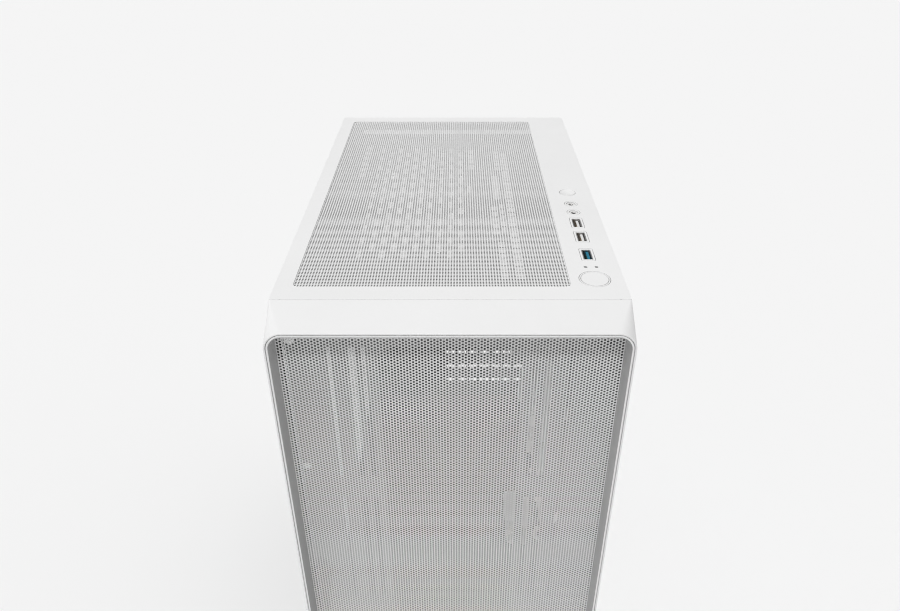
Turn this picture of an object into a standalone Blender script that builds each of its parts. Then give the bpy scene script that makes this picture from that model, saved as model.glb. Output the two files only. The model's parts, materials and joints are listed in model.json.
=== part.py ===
"""Desktop computer tower: steel chassis, mesh front and top, glass side, and the working parts inside.

Metres, +Z up. The front faces -Y, the port strip is on the +X side of the top, and the origin is on the
ground under the middle of the tower.
"""

import math

import bmesh
import bpy
from mathutils import Euler, Matrix, Vector

# ---- driving dimensions -------------------------------------------------------------------------------
CASE_W = 0.215            # outside width
BODY_D = 0.3452           # top panel, from the seam with the bezel to the back edge
BEZEL_D = 0.0268          # front bezel, from the seam to its lip
TOP_Z = 0.465             # top surface over the ground
SCREW_OUT = 0.007         # thumbscrew heads behind the back edge
FOOT_H = 0.020            # ground to the floor pan

GAP = 0.0003              # clearance between touching pieces
SHEET = 0.001             # chassis steel
PANEL = 0.002             # moulded top panel wall

FRONT_Y = -(BEZEL_D + BODY_D + SCREW_OUT) / 2
SEAM_Y = FRONT_Y + BEZEL_D
BACK_Y = SEAM_Y + BODY_D
HALF_W = CASE_W / 2

# chassis planes
FLOOR_Z = FOOT_H + SHEET                    # upper face of the floor pan
ROOF_Z = TOP_Z - 0.017                      # lower face of the chassis top plate
LEFT_X = -HALF_W + 0.0045                   # chassis edge behind the glass
RIGHT_X = HALF_W - 0.0015                   # chassis edge behind the steel side
REAR_Y = BACK_Y - 0.003                     # inner face of the rear panel
TRAY_X = 0.0935                             # inner face of the motherboard tray
SHROUD_Z = 0.116                            # lower face of the shroud top
CHASSIS_FRONT_Y = SEAM_Y + 0.0005

# top mesh opening
VENT_W = 0.170
VENT_D = 0.318
VENT_X = -HALF_W + 0.0112 + VENT_W / 2
VENT_Y = SEAM_Y + 0.0146 + VENT_D / 2

# port strip: centre line and distances behind the seam
PORT_X = 0.0894
POWER_Y = SEAM_Y + 0.0242
LIGHT_Y = SEAM_Y + 0.0394
USB_Y = {"usb3": SEAM_Y + 0.0563, "usb2_front": SEAM_Y + 0.0823, "usb2_rear": SEAM_Y + 0.1043}
JACK_Y = {"microphone": SEAM_Y + 0.1224, "headphone": SEAM_Y + 0.1373}
RESET_Y = SEAM_Y + 0.1586
POWER_R = 0.0085          # power button cap
RESET_R = 0.0060          # reset button cap
POWER_TRAVEL = 0.0015
RESET_TRAVEL = 0.0010

# front bezel
LIP_DROP = 0.00655        # how far the top of the lip lies under the top surface
LIP_R = 0.0118
LIP_W = 0.0027            # flat ring round the mesh pocket
MESH_DEPTH = 0.009        # lip to mesh
MESH_T = 0.0008
BASE_Z = FOOT_H + 0.0005

# board and rear layout
BOARD_T = 0.0016
BOARD_X = TRAY_X - 0.0065 - BOARD_T         # face of the board that carries the parts
BOARD_W = 0.244
BOARD_H = 0.3048
BOARD_Z = 0.125
BOARD_Y = REAR_Y - 0.001 - BOARD_W
SLOT_PITCH = 0.02032
SLOT_COUNT = 7
SLOT_Z = BOARD_Z + 0.0166                   # lowest expansion slot
DASH_X = [0.0775 - 0.0135 * dash for dash in range(7)]     # middles of the dashes along a slot cover
DASH_L = 0.010
DASH_H = 0.0036
PSU_X = 0.007
PSU_W = 0.150
PSU_H = 0.086
PSU_L = 0.140
PSU_WALL = 0.0012
PSU_Z = FLOOR_Z + 0.003
FAN_X = -0.027
FAN_Z = 0.370
CPU_Y = REAR_Y - 0.0795
CPU_Z = BOARD_Z + 0.217
MEMORY_Y = (0.0315, 0.0130)
ROCKER_TILT = 7           # degrees either side of level; the switch rests at one end

# ---- collections and materials ------------------------------------------------------------------------
for old in list(bpy.data.objects):
    bpy.data.objects.remove(old, do_unlink=True)


def new_collection(name):
    group = bpy.data.collections.new(name)
    bpy.context.scene.collection.children.link(group)
    return group


parts = new_collection("computer_tower")
cutters = new_collection("cutters")


def finish(name, colour, roughness, metallic=0.0, glass=0.0):
    material = bpy.data.materials.new(name)
    material.use_nodes = True
    shader = material.node_tree.nodes["Principled BSDF"]
    shader.inputs["Base Color"].default_value = (*colour, 1.0)
    shader.inputs["Roughness"].default_value = roughness
    shader.inputs["Metallic"].default_value = metallic
    shader.inputs["Transmission Weight"].default_value = glass
    return material


white_plastic = finish("white_plastic", (0.87, 0.87, 0.87), 0.42)
white_steel = finish("white_steel", (0.83, 0.83, 0.83), 0.5)
clear_glass = finish("clear_glass", (0.95, 0.97, 0.96), 0.04, glass=1.0)
grey_rubber = finish("grey_rubber", (0.35, 0.35, 0.36), 0.85)
board_white = finish("board_white", (0.72, 0.73, 0.74), 0.5)
bare_metal = finish("bare_metal", (0.62, 0.61, 0.59), 0.3, 1.0)
dark_plastic = finish("dark_plastic", (0.03, 0.03, 0.035), 0.5)
pale_plastic = finish("pale_plastic", (0.75, 0.75, 0.74), 0.45)
blue_plastic = finish("blue_plastic", (0.02, 0.16, 0.36), 0.4)
aluminium = finish("aluminium", (0.75, 0.76, 0.77), 0.35, 1.0)
cable_white = finish("cable_white", (0.70, 0.70, 0.70), 0.7)


# ---- shape helpers: each returns a function that draws its shape into a bmesh ---------------------------
def block(low, high, round_along=None, radius=0.0, steps=4):
    """A box between two corners; round_along names the axis whose four edges are rounded."""
    def draw(bm):
        size = [h - l for l, h in zip(low, high)]
        middle = [(l + h) / 2 for l, h in zip(low, high)]
        verts = bmesh.ops.create_cube(bm, size=1.0)["verts"]
        bmesh.ops.scale(bm, vec=size, verts=verts)
        bmesh.ops.translate(bm, vec=middle, verts=verts)
        if round_along is None:
            return
        axis = "XYZ".index(round_along)
        edges = {e for v in verts for e in v.link_edges
                 if abs((e.verts[0].co - e.verts[1].co)[axis]) > 1e-6}
        bmesh.ops.bevel(bm, geom=list(edges), offset=radius, segments=steps, profile=0.5, affect="EDGES")
    return draw


def rod(centre, radius, length, along="Z", sides=24, end_radius=None):
    """A cylinder, or a cone when end_radius differs, centred on a point."""
    def draw(bm):
        turn = {"X": Matrix.Rotation(math.pi / 2, 4, "Y"), "Y": Matrix.Rotation(-math.pi / 2, 4, "X"),
                "Z": Matrix.Identity(4)}[along]
        bmesh.ops.create_cone(bm, cap_ends=True, segments=sides, radius1=radius,
                              radius2=radius if end_radius is None else end_radius, depth=length,
                              matrix=Matrix.Translation(centre) @ turn)
    return draw


def rounded_loop(half_w, low_z, high_z, radius, steps=6):
    """Points (x, z) round a rectangle with round corners, anticlockwise seen from the front."""
    corners = ((half_w - radius, high_z - radius, 0), (-half_w + radius, high_z - radius, 90),
               (-half_w + radius, low_z + radius, 180), (half_w - radius, low_z + radius, 270))
    points = []
    for x, z, start in corners:
        for i in range(steps + 1):
            angle = math.radians(start + 90 * i / steps)
            points.append((x + radius * math.cos(angle), z + radius * math.sin(angle)))
    return points


def loft(sections):
    """A closed skin through (y, loop) sections, given from the front to the back."""
    def draw(bm):
        rings = [[bm.verts.new((x, y, z)) for x, z in loop] for y, loop in sections]
        for ahead, behind in zip(rings, rings[1:]):
            for i in range(len(ahead)):
                j = (i + 1) % len(ahead)
                bm.faces.new((ahead[j], ahead[i], behind[i], behind[j]))
        bm.faces.new(rings[0])
        bm.faces.new(list(reversed(rings[-1])))
    return draw


def hexagons(centre_x, centre_z, reach, pitch, across, low_y, high_y):
    """A round field of six-sided holes through a sheet that faces Y."""
    rows = int(reach / (pitch * math.sqrt(3) / 2))
    shapes = []
    for row in range(-rows, rows + 1):
        z = row * pitch * math.sqrt(3) / 2
        for column in range(-rows - 1, rows + 2):
            x = (column + 0.5 * (row % 2)) * pitch
            if math.hypot(x, z) < reach:
                shapes.append(rod((centre_x + x, (low_y + high_y) / 2, centre_z + z), across / 2,
                                  high_y - low_y, "Y", 6))
    return shapes


def mesh_of(name, shapes):
    bm = bmesh.new()
    for draw in shapes:
        draw(bm)
    mesh = bpy.data.meshes.new(name)
    bm.to_mesh(mesh)
    bm.free()
    return mesh


def place(thing, group, at, turn):
    group.objects.link(thing)
    thing.location = at
    thing.rotation_euler = Euler(turn)


def hide(thing):
    thing.hide_render = True
    thing.display_type = "WIRE"


def combine(piece, operation, shapes, at, turn):
    """Joins shapes to a piece, or cuts them out of it, with one tool object."""
    tool = bpy.data.objects.new(f"{piece.name}_{operation.lower()}", mesh_of("tool", shapes))
    place(tool, cutters, at, turn)
    hide(tool)
    boolean = piece.modifiers.new(operation.title(), "BOOLEAN")
    boolean.operation = operation
    boolean.solver = "EXACT"
    boolean.use_self = True
    boolean.object = tool


def part(name, material, shapes, joins=(), cuts=(), then_joins=(), at=(0, 0, 0), turn=(0, 0, 0), smooth=0):
    """One named piece. Shapes are drawn about `at`; joins come before cuts, then_joins after them."""
    piece = bpy.data.objects.new(name, mesh_of(name, shapes))
    place(piece, parts, at, turn)
    piece.data.materials.append(material)
    for operation, tools in (("UNION", joins), ("DIFFERENCE", cuts), ("UNION", then_joins)):
        if tools:
            combine(piece, operation, tools, at, turn)
    if smooth:
        piece.data.shade_smooth()
        piece.data.set_sharp_from_angle(angle=math.radians(smooth))
    return piece


def folded_sheet(name, material, low, high, open_sides, thickness, cuts=(), joins=()):
    """A box of sheet with some sides left off: open_sides holds entries such as "-Z" or "+X"."""
    bm = bmesh.new()
    block(low, high)(bm)
    bm.faces.ensure_lookup_table()
    for side in open_sides:
        direction = Vector([(-1 if side[0] == "-" else 1) * (axis == side[1]) for axis in "XYZ"])
        bm.normal_update()
        gone = [face for face in bm.faces if face.normal.dot(direction) > 0.9]
        bmesh.ops.delete(bm, geom=gone, context="FACES")
    mesh = bpy.data.meshes.new(name)
    bm.to_mesh(mesh)
    bm.free()
    piece = bpy.data.objects.new(name, mesh)
    place(piece, parts, (0, 0, 0), (0, 0, 0))
    mesh.materials.append(material)
    wall = piece.modifiers.new("Solidify", "SOLIDIFY")
    wall.thickness = thickness
    wall.offset = -1
    wall.use_even_offset = True
    for operation, tools in (("UNION", joins), ("DIFFERENCE", cuts)):
        if tools:
            combine(piece, operation, tools, (0, 0, 0), (0, 0, 0))
    return piece


# ---- chassis ------------------------------------------------------------------------------------------
def make_floor():
    """Floor pan with the power supply's air hole and the two rails that carry its dust filter."""
    rail_low, rail_high = FLOOR_Z - 0.0075, FLOOR_Z - SHEET / 2
    rails = []
    for side in (-1, 1):
        wall = PSU_X + side * 0.0672
        rails.append(block((min(wall, wall + side * 0.0015), 0.010, rail_low),
                           (max(wall, wall + side * 0.0015), REAR_Y, rail_high)))
        inner, outer = wall - side * 0.0025, wall + side * 0.0015
        rails.append(block((min(inner, outer), 0.010, rail_low),
                           (max(inner, outer), REAR_Y, rail_low + 0.001)))
    part("chassis_floor", white_steel,
         [block((LEFT_X, CHASSIS_FRONT_Y, FLOOR_Z - SHEET), (RIGHT_X, REAR_Y + SHEET, FLOOR_Z))],
         joins=rails,
         cuts=[block((PSU_X - 0.058, 0.046, FLOOR_Z - 0.003), (PSU_X + 0.058, 0.162, FLOOR_Z + 0.002),
                     "Z", 0.012, 3)])


def make_rear_panel():
    """Rear sheet: fan grille, port aperture, seven slotted expansion covers, power supply opening."""
    low_y, high_y = REAR_Y - 0.002, REAR_Y + SHEET + 0.002
    cuts = hexagons(FAN_X, FAN_Z, 0.050, 0.0180, 0.0180, low_y, high_y)
    aperture_low = SLOT_Z + SLOT_PITCH * SLOT_COUNT - 0.0088
    cuts.append(block((0.0425, low_y, aperture_low), (0.0865, high_y, aperture_low + 0.15875)))
    cuts.append(block((PSU_X - PSU_W / 2 + 0.004, low_y, PSU_Z + 0.004),
                      (PSU_X + PSU_W / 2 - 0.004, high_y, PSU_Z + PSU_H - 0.004)))
    for slot in range(SLOT_COUNT - 1):
        z = SLOT_Z + slot * SLOT_PITCH
        cuts += [block((x - DASH_L / 2, low_y, z - DASH_H / 2), (x + DASH_L / 2, high_y, z + DASH_H / 2))
                 for x in DASH_X]
    top_slot = SLOT_Z + (SLOT_COUNT - 1) * SLOT_PITCH
    cuts.append(block((-0.024, low_y, top_slot - 0.0065), (0.084, high_y, top_slot + 0.0065)))
    part("rear_panel", white_steel,
         [block((LEFT_X, REAR_Y, FLOOR_Z + GAP), (RIGHT_X, REAR_Y + SHEET, ROOF_Z - GAP))], cuts=cuts)
    part("slot_cover", white_steel,
         [block((-0.031, REAR_Y + SHEET + GAP, top_slot - 0.0092),
                (0.0855, REAR_Y + SHEET + GAP + 0.0008, top_slot + 0.0092))],
         cuts=[block((x - DASH_L / 2, low_y, top_slot - DASH_H / 2),
                     (x + DASH_L / 2, high_y + 0.002, top_slot + DASH_H / 2)) for x in DASH_X])


def make_roof():
    """Chassis top plate with long vents, notched beside the port strip."""
    cuts = []
    for column in range(9):
        x = -0.060 + column * 0.0085
        for low in (-0.112, -0.042, 0.028):
            cuts.append(block((x - 0.0015, low, ROOF_Z - 0.002), (x + 0.0015, low + 0.062, ROOF_Z + 0.003)))
    cuts.append(block((0.0765, SEAM_Y - 0.002, ROOF_Z - 0.002), (HALF_W, 0.014, ROOF_Z + 0.003)))
    part("chassis_top", white_steel,
         [block((LEFT_X, CHASSIS_FRONT_Y, ROOF_Z), (RIGHT_X, REAR_Y + SHEET, ROOF_Z + SHEET))], cuts=cuts)


def make_chassis_front():
    """Upright sheet behind the bezel: the air opening, fan screw slots, and holes for the bezel's posts."""
    low_y, high_y = CHASSIS_FRONT_Y - 0.002, CHASSIS_FRONT_Y + 0.003
    cuts = [block((-0.046, low_y, 0.050), (0.046, high_y, 0.430), "Y", 0.010, 3)]
    for x, width in ((-0.076, 0.0025), (-0.062, 0.0045), (-0.0535, 0.0045),
                     (0.0535, 0.0045), (0.062, 0.0045), (0.076, 0.0025)):
        for low in (0.060, 0.190, 0.320):
            cuts.append(block((x - width / 2, low_y, low), (x + width / 2, high_y, low + 0.110)))
    cuts += [rod((x, CHASSIS_FRONT_Y, z), 0.0032, 0.006, "Y", 12) for x, z in bezel_posts()]
    part("chassis_front", white_steel,
         [block((LEFT_X, CHASSIS_FRONT_Y, FLOOR_Z + GAP), (RIGHT_X, CHASSIS_FRONT_Y + SHEET, ROOF_Z - GAP))],
         cuts=cuts)


def make_tray():
    """Motherboard tray with its stand-offs, processor window and cable passages."""
    inside_y = CHASSIS_FRONT_Y + SHEET + GAP
    low_x, high_x = TRAY_X - 0.002, TRAY_X + SHEET + 0.002
    cuts = [block((low_x, CPU_Y - 0.045, CPU_Z - 0.050), (high_x, CPU_Y + 0.045, CPU_Z + 0.050),
                  "X", 0.006, 3),
            block((low_x, -0.105, 0.150), (high_x, -0.085, 0.250), "X", 0.009, 4),
            block((low_x, -0.105, 0.285), (high_x, -0.085, 0.395), "X", 0.009, 4),
            block((low_x, -0.045, 0.036), (high_x, 0.045, 0.108), "X", 0.006, 3),
            block((low_x, 0.085, 0.4335), (high_x, 0.125, 0.4455), "X", 0.004, 3),
            block((low_x, inside_y - 0.001, TOP_Z - 0.0330), (high_x, 0.012, ROOF_Z + 0.001))]
    bosses = []
    for y in (BOARD_Y + 0.0175, BOARD_Y + 0.100, REAR_Y - 0.0175):
        for z in (BOARD_Z + 0.008, BOARD_Z + 0.140, BOARD_Z + BOARD_H - 0.008):
            if abs(y - CPU_Y) > 0.046 or abs(z - CPU_Z) > 0.052:
                length = TRAY_X - BOARD_X - BOARD_T - GAP + 0.0005
                bosses.append(rod((TRAY_X + 0.0005 - length / 2, y, z), 0.003, length, "X", 8))
    part("board_tray", white_steel,
         [block((TRAY_X, inside_y, FLOOR_Z + GAP), (TRAY_X + SHEET, REAR_Y - GAP, ROOF_Z - GAP))],
         joins=bosses, cuts=cuts)


def make_shroud():
    """Folded cover over the power supply and the drive cage: its top and its window side."""
    folded_sheet("psu_shroud", white_steel,
                 (LEFT_X, CHASSIS_FRONT_Y + SHEET + GAP, FLOOR_Z + GAP),
                 (TRAY_X - GAP, REAR_Y - GAP, SHROUD_Z + SHEET), ("-Z", "+X", "-Y", "+Y"), SHEET,
                 cuts=[block((0.052, -0.050, SHROUD_Z - 0.004), (0.078, 0.020, SHROUD_Z + 0.004),
                             "Z", 0.006, 3)])


def make_feet():
    for front, y in (("front", SEAM_Y + 0.035), ("rear", BACK_Y - 0.035)):
        for side, x in (("left", -0.0905), ("right", 0.0905)):
            part(f"foot_{front}_{side}", white_plastic,
                 [rod((0, 0, FOOT_H / 2 + 0.0010), 0.0115, FOOT_H - 0.0026, "Z", 24, 0.013)],
                 joins=[rod((0, 0, 0.0015), 0.0095, 0.0030, "Z", 24)], at=(x, y, 0), smooth=40)


# ---- covers -------------------------------------------------------------------------------------------
def make_top_panel():
    """Moulded top: vent opening, and cut-outs for the power ring, lights, ports and reset button."""
    through = (TOP_Z - 0.004, TOP_Z + 0.002)
    middle = sum(through) / 2
    height = through[1] - through[0]
    cuts = [block((VENT_X - VENT_W / 2, VENT_Y - VENT_D / 2, through[0]),
                  (VENT_X + VENT_W / 2, VENT_Y + VENT_D / 2, through[1]), "Z", 0.0036, 4),
            rod((PORT_X, POWER_Y, middle), 0.00995, height, "Z", 40),
            rod((PORT_X, RESET_Y, middle), RESET_R + GAP, height, "Z", 32)]
    cuts += [rod((PORT_X + x, LIGHT_Y, middle), 0.0009 + GAP, height, "Z", 12) for x in (-0.0035, 0.0035)]
    cuts += [block((PORT_X - 0.0047, y - 0.00865, through[0]), (PORT_X + 0.0047, y + 0.00865, through[1]),
                   "Z", 0.0015, 3) for y in USB_Y.values()]
    cuts += [rod((PORT_X, y, middle), 0.00495, height, "Z", 24) for y in JACK_Y.values()]
    folded_sheet("top_panel", white_plastic, (-HALF_W, SEAM_Y, TOP_Z - 0.012), (HALF_W, BACK_Y, TOP_Z),
                 ("-Z",), PANEL, cuts=cuts)


def make_top_mesh():
    edge = 0.003
    part("top_mesh", white_steel,
         [block((VENT_X - VENT_W / 2 - edge, VENT_Y - VENT_D / 2 - edge, TOP_Z - PANEL - GAP - MESH_T),
                (VENT_X + VENT_W / 2 + edge, VENT_Y + VENT_D / 2 + edge, TOP_Z - PANEL - GAP))])


def bezel_posts():
    """Where the bezel's snap posts enter the chassis front, as (x, z)."""
    return [(side * 0.0995, z) for side in (-1, 1) for z in (0.045, 0.150, 0.330, 0.435)]


def make_bezel():
    """Moulded frame: square at the seam, round-cornered at the lip, with the mesh set back inside."""
    inner_w, top = HALF_W - LIP_W, TOP_Z - LIP_DROP
    low = BASE_Z + LIP_DROP
    seat_w = HALF_W - 0.0041
    seat_y = FRONT_Y + MESH_DEPTH + MESH_T + GAP
    flange_y = seat_y + 0.002
    pocket = loft([(FRONT_Y - 0.001, rounded_loop(inner_w, low + LIP_W, top - LIP_W, 0.0092)),
                   (FRONT_Y, rounded_loop(inner_w, low + LIP_W, top - LIP_W, 0.0092)),
                   (FRONT_Y + MESH_DEPTH - GAP, rounded_loop(seat_w, low + 0.0041, top - 0.0041, 0.0078)),
                   (seat_y, rounded_loop(seat_w, low + 0.0041, top - 0.0041, 0.0078))])
    opening = loft([(seat_y - 0.001, rounded_loop(0.0985, low + 0.009, top - 0.009, 0.006)),
                    (flange_y + 0.001, rounded_loop(0.0985, low + 0.009, top - 0.009, 0.006))])
    cavity = loft([(flange_y, rounded_loop(HALF_W - 0.0028, low + 0.0028, top - 0.0028, 0.0095)),
                   (SEAM_Y + 0.002, rounded_loop(HALF_W - 0.0025, BASE_Z + 0.0025, TOP_Z - 0.0025, 0.002))])
    post_end = CHASSIS_FRONT_Y + 0.006
    posts = [rod((x, (flange_y - 0.001 + post_end) / 2, z), 0.0024, post_end - flange_y + 0.001, "Y", 8)
             for x, z in bezel_posts()]
    part("front_bezel", white_plastic,
         [loft([(FRONT_Y, rounded_loop(HALF_W, low, top, LIP_R)),
                (SEAM_Y - GAP, rounded_loop(HALF_W, BASE_Z, TOP_Z, 0.0004))])],
         cuts=[pocket, opening, cavity], then_joins=posts)
    mesh_w = seat_w - GAP
    part("front_mesh", white_steel,
         [loft([(FRONT_Y + MESH_DEPTH, rounded_loop(mesh_w, low + 0.0041 + GAP, top - 0.0041 - GAP, 0.0075)),
                (FRONT_Y + MESH_DEPTH + MESH_T,
                 rounded_loop(mesh_w, low + 0.0041 + GAP, top - 0.0041 - GAP, 0.0075))])])


SIDE_LOW = FOOT_H + 0.0005
SIDE_HIGH = TOP_Z - 0.012 - GAP
SIDE_FRONT = SEAM_Y + GAP
FLANGE_Y = REAR_Y + SHEET + 2 * GAP
SCREW_Z = (0.075, 0.405)


def thumbscrew(name, x, z):
    """Knurled head and short shank that passes through the side's rear flange."""
    head_y = FLANGE_Y + SHEET + GAP
    head_height = -FRONT_Y - head_y
    shank = 0.0008
    part(name, white_steel, [rod((0, 0, head_height / 2), 0.0048, head_height, "Z", 16)],
         joins=[rod((0, 0, -shank / 2), 0.0016, shank + 0.0004, "Z", 8)],
         at=(x, head_y, z), turn=(-math.pi / 2, 0, 0), smooth=30)


def make_sides():
    """Glass side with its steel rear rail, and folded steel side. Each has two thumbscrews behind."""
    part("side_window", clear_glass,
         [block((-HALF_W, SIDE_FRONT, SIDE_LOW), (-HALF_W + 0.004, BACK_Y - 0.014, SIDE_HIGH), "X", 0.002, 3)])
    holes = [rod((x, FLANGE_Y, z), 0.0022, 0.02, "Y", 12) for x in (-0.0945, 0.0970) for z in SCREW_Z]
    part("window_rail", white_steel,
         [block((-HALF_W, BACK_Y - 0.014 + GAP, SIDE_LOW), (-HALF_W + 0.0012, FLANGE_Y + SHEET, SIDE_HIGH))],
         joins=[block((-HALF_W, FLANGE_Y, SIDE_LOW), (-0.0885, FLANGE_Y + SHEET, SIDE_HIGH))], cuts=holes)
    part("steel_side", white_steel,
         [block((RIGHT_X + GAP, SIDE_FRONT, SIDE_LOW), (HALF_W, FLANGE_Y + SHEET, SIDE_HIGH))],
         joins=[block((0.0905, FLANGE_Y, SIDE_LOW), (HALF_W, FLANGE_Y + SHEET, SIDE_HIGH))], cuts=holes)
    for side, x in (("window", -0.0945), ("side", 0.0970)):
        for place_name, z in zip(("lower", "upper"), SCREW_Z):
            thumbscrew(f"{side}_screw_{place_name}", x, z)


def make_dust_filter():
    """Sliding frame and net under the power supply, with a pull tab at the back."""
    low, high = FLOOR_Z - 0.0062, FLOOR_Z - SHEET - GAP
    frame = block((PSU_X - 0.0668, 0.012, low), (PSU_X + 0.0668, REAR_Y - 0.001, high))
    tab = block((PSU_X - 0.020, REAR_Y - 0.002, low), (PSU_X + 0.020, BACK_Y, high))
    window = block((PSU_X - 0.060, 0.020, low - 0.001), (PSU_X + 0.060, REAR_Y - 0.009, high + 0.001),
                   "Z", 0.004, 3)
    groove = block((PSU_X - 0.0620, 0.018, low + 0.0015), (PSU_X + 0.0620, REAR_Y - 0.007, low + 0.0031))
    part("filter_frame", white_plastic, [frame], joins=[tab], cuts=[window, groove])
    part("filter_net", grey_rubber,
         [block((PSU_X - 0.0617, 0.0183, low + 0.0018), (PSU_X + 0.0617, REAR_Y - 0.0073, low + 0.0028))])


# ---- port strip ---------------------------------------------------------------------------------------
def make_port_strip():
    """Carrier with flush surrounds, its board, sockets, switches, light pipes and buttons."""
    plate_high = TOP_Z - PANEL - GAP
    plate_low = plate_high - 0.0012
    boss_top = TOP_Z - 0.0001
    board_high = TOP_Z - 0.0184
    board_low = board_high - 0.0016
    through = (plate_low - 0.001, TOP_Z + 0.001)
    middle, height = sum(through) / 2, through[1] - through[0]

    def boss(y, radius):
        low = plate_low + 0.0002
        return rod((PORT_X, y, (low + boss_top) / 2), radius, boss_top - low, "Z", 32)

    joins = [boss(POWER_Y, 0.00995 - GAP)] + [boss(y, 0.00495 - GAP) for y in JACK_Y.values()]
    joins += [block((PORT_X - 0.0044, y - 0.00835, plate_low + 0.0002),
                    (PORT_X + 0.0044, y + 0.00835, boss_top), "Z", 0.0013, 3) for y in USB_Y.values()]
    cuts = [rod((PORT_X, POWER_Y, middle), POWER_R + GAP, height, "Z", 32),
            rod((PORT_X, RESET_Y, middle), RESET_R + GAP, height, "Z", 24)]
    cuts += [rod((PORT_X + x, LIGHT_Y, middle), 0.0009 + GAP, height, "Z", 8) for x in (-0.0035, 0.0035)]
    cuts += [block((PORT_X - 0.0031, y - 0.00685, through[0]), (PORT_X + 0.0031, y + 0.00685, through[1]))
             for y in USB_Y.values()]
    cuts += [rod((PORT_X, y, middle), 0.0032 + GAP, height, "Z", 20) for y in JACK_Y.values()]
    part("port_carrier", white_plastic,
         [block((PORT_X - 0.0120, SEAM_Y + 0.008, plate_low),
                (PORT_X + 0.0120, RESET_Y + 0.012, plate_high))],
         joins=joins, cuts=cuts)

    part("port_board", board_white,
         [block((PORT_X - 0.0110, SEAM_Y + 0.010, board_low),
                (PORT_X + 0.0110, RESET_Y + 0.010, board_high))])

    for name, y in USB_Y.items():
        base = board_high + GAP
        top = TOP_Z - 0.0006
        part(f"{name}_socket", blue_plastic if name == "usb3" else pale_plastic,
             [block((PORT_X - 0.0028, y - 0.00655, base), (PORT_X + 0.0028, y + 0.00655, top))],
             cuts=[block((PORT_X - 0.0025, y - 0.00625, base + 0.0018),
                         (PORT_X + 0.0025, y + 0.00625, top + 0.001))],
             then_joins=[block((PORT_X - 0.0001, y - 0.0055, base + 0.0010),
                               (PORT_X + 0.0017, y + 0.0055, top - 0.0010))])

    for name, y in JACK_Y.items():
        base = board_high + GAP
        shoulder = plate_low - GAP
        part(f"{name}_jack", pale_plastic,
             [block((PORT_X - 0.0040, y - 0.0050, base), (PORT_X + 0.0040, y + 0.0050, shoulder))],
             joins=[rod((PORT_X, y, (shoulder + TOP_Z) / 2 - 0.0005), 0.0032, TOP_Z - shoulder, "Z", 20)],
             cuts=[rod((PORT_X, y, TOP_Z - 0.0058), 0.0018, 0.0140, "Z", 16)])

    pipe_low, pipe_high = board_high + 0.0010, TOP_Z - 0.0002
    part("light_pipes", pale_plastic,
         [block((PORT_X - 0.0048, LIGHT_Y - 0.0012, pipe_low),
                (PORT_X + 0.0048, LIGHT_Y + 0.0012, pipe_low + 0.0020))],
         joins=[rod((PORT_X + x, LIGHT_Y, (pipe_low + 0.001 + pipe_high) / 2), 0.0009,
                    pipe_high - pipe_low - 0.001, "Z", 12) for x in (-0.0035, 0.0035)])

    for name, y, radius, travel in (("power", POWER_Y, POWER_R, POWER_TRAVEL),
                                    ("reset", RESET_Y, RESET_R, RESET_TRAVEL)):
        switch_top = board_high + 0.0050
        part(f"{name}_switch", dark_plastic,
             [block((PORT_X - 0.003, y - 0.003, board_high + GAP),
                    (PORT_X + 0.003, y + 0.003, board_high + 0.0038))],
             joins=[rod((PORT_X, y, (board_high + 0.003 + switch_top) / 2), 0.0017,
                        switch_top - board_high - 0.003, "Z", 12)])
        stem_low = switch_top + travel + GAP
        cap_low = TOP_Z - 0.0026
        flange_high = plate_low - GAP
        part(f"{name}_button", white_plastic,
             [rod((0, 0, (cap_low - 0.0015 - TOP_Z) / 2), radius, TOP_Z - cap_low + 0.0015, "Z", 40)],
             joins=[rod((0, 0, flange_high - TOP_Z - 0.0005), radius + 0.0008, 0.0010, "Z", 32),
                    rod((0, 0, (stem_low + cap_low) / 2 - TOP_Z), 0.0025, cap_low - stem_low, "Z", 16)],
             at=(PORT_X, y, TOP_Z), smooth=40)


# ---- fans ---------------------------------------------------------------------------------------------
def fan_rotor(name, at, turn, tip, hub, depth, blades=7):
    """Cup hub with pitched, swept blades; the axis is the local Z."""
    piece = part(name, pale_plastic, [rod((0, 0, 0), hub, depth, "Z", 20)], at=at, turn=turn, smooth=40)
    bm = bmesh.new()
    along, across = 3, 2
    for blade in range(blades):
        grid = []
        for i in range(along + 1):
            radius = hub - 0.0012 + (tip - hub + 0.0012) * i / along
            sweep = 0.30 * i / along
            width = math.radians(36 + 3 * i / along)
            row = []
            for j in range(across + 1):
                share = j / across - 0.5
                angle = math.tau * blade / blades + sweep + width * share
                lift = depth * 0.72 * (1 - 0.25 * i / along) * share
                row.append(bm.verts.new((radius * math.cos(angle), radius * math.sin(angle), lift)))
            grid.append(row)
        for i in range(along):
            for j in range(across):
                bm.faces.new((grid[i][j], grid[i + 1][j], grid[i + 1][j + 1], grid[i][j + 1]))
    mesh = bpy.data.meshes.new("blades")
    bm.to_mesh(mesh)
    bm.free()
    vanes = bpy.data.objects.new(f"{name}_blades", mesh)
    place(vanes, cutters, at, turn)
    hide(vanes)
    wall = vanes.modifiers.new("Solidify", "SOLIDIFY")
    wall.thickness = 0.0014
    wall.offset = 0
    joined = piece.modifiers.new("Union", "BOOLEAN")
    joined.operation = "UNION"
    joined.solver = "EXACT"
    joined.object = vanes


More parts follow.
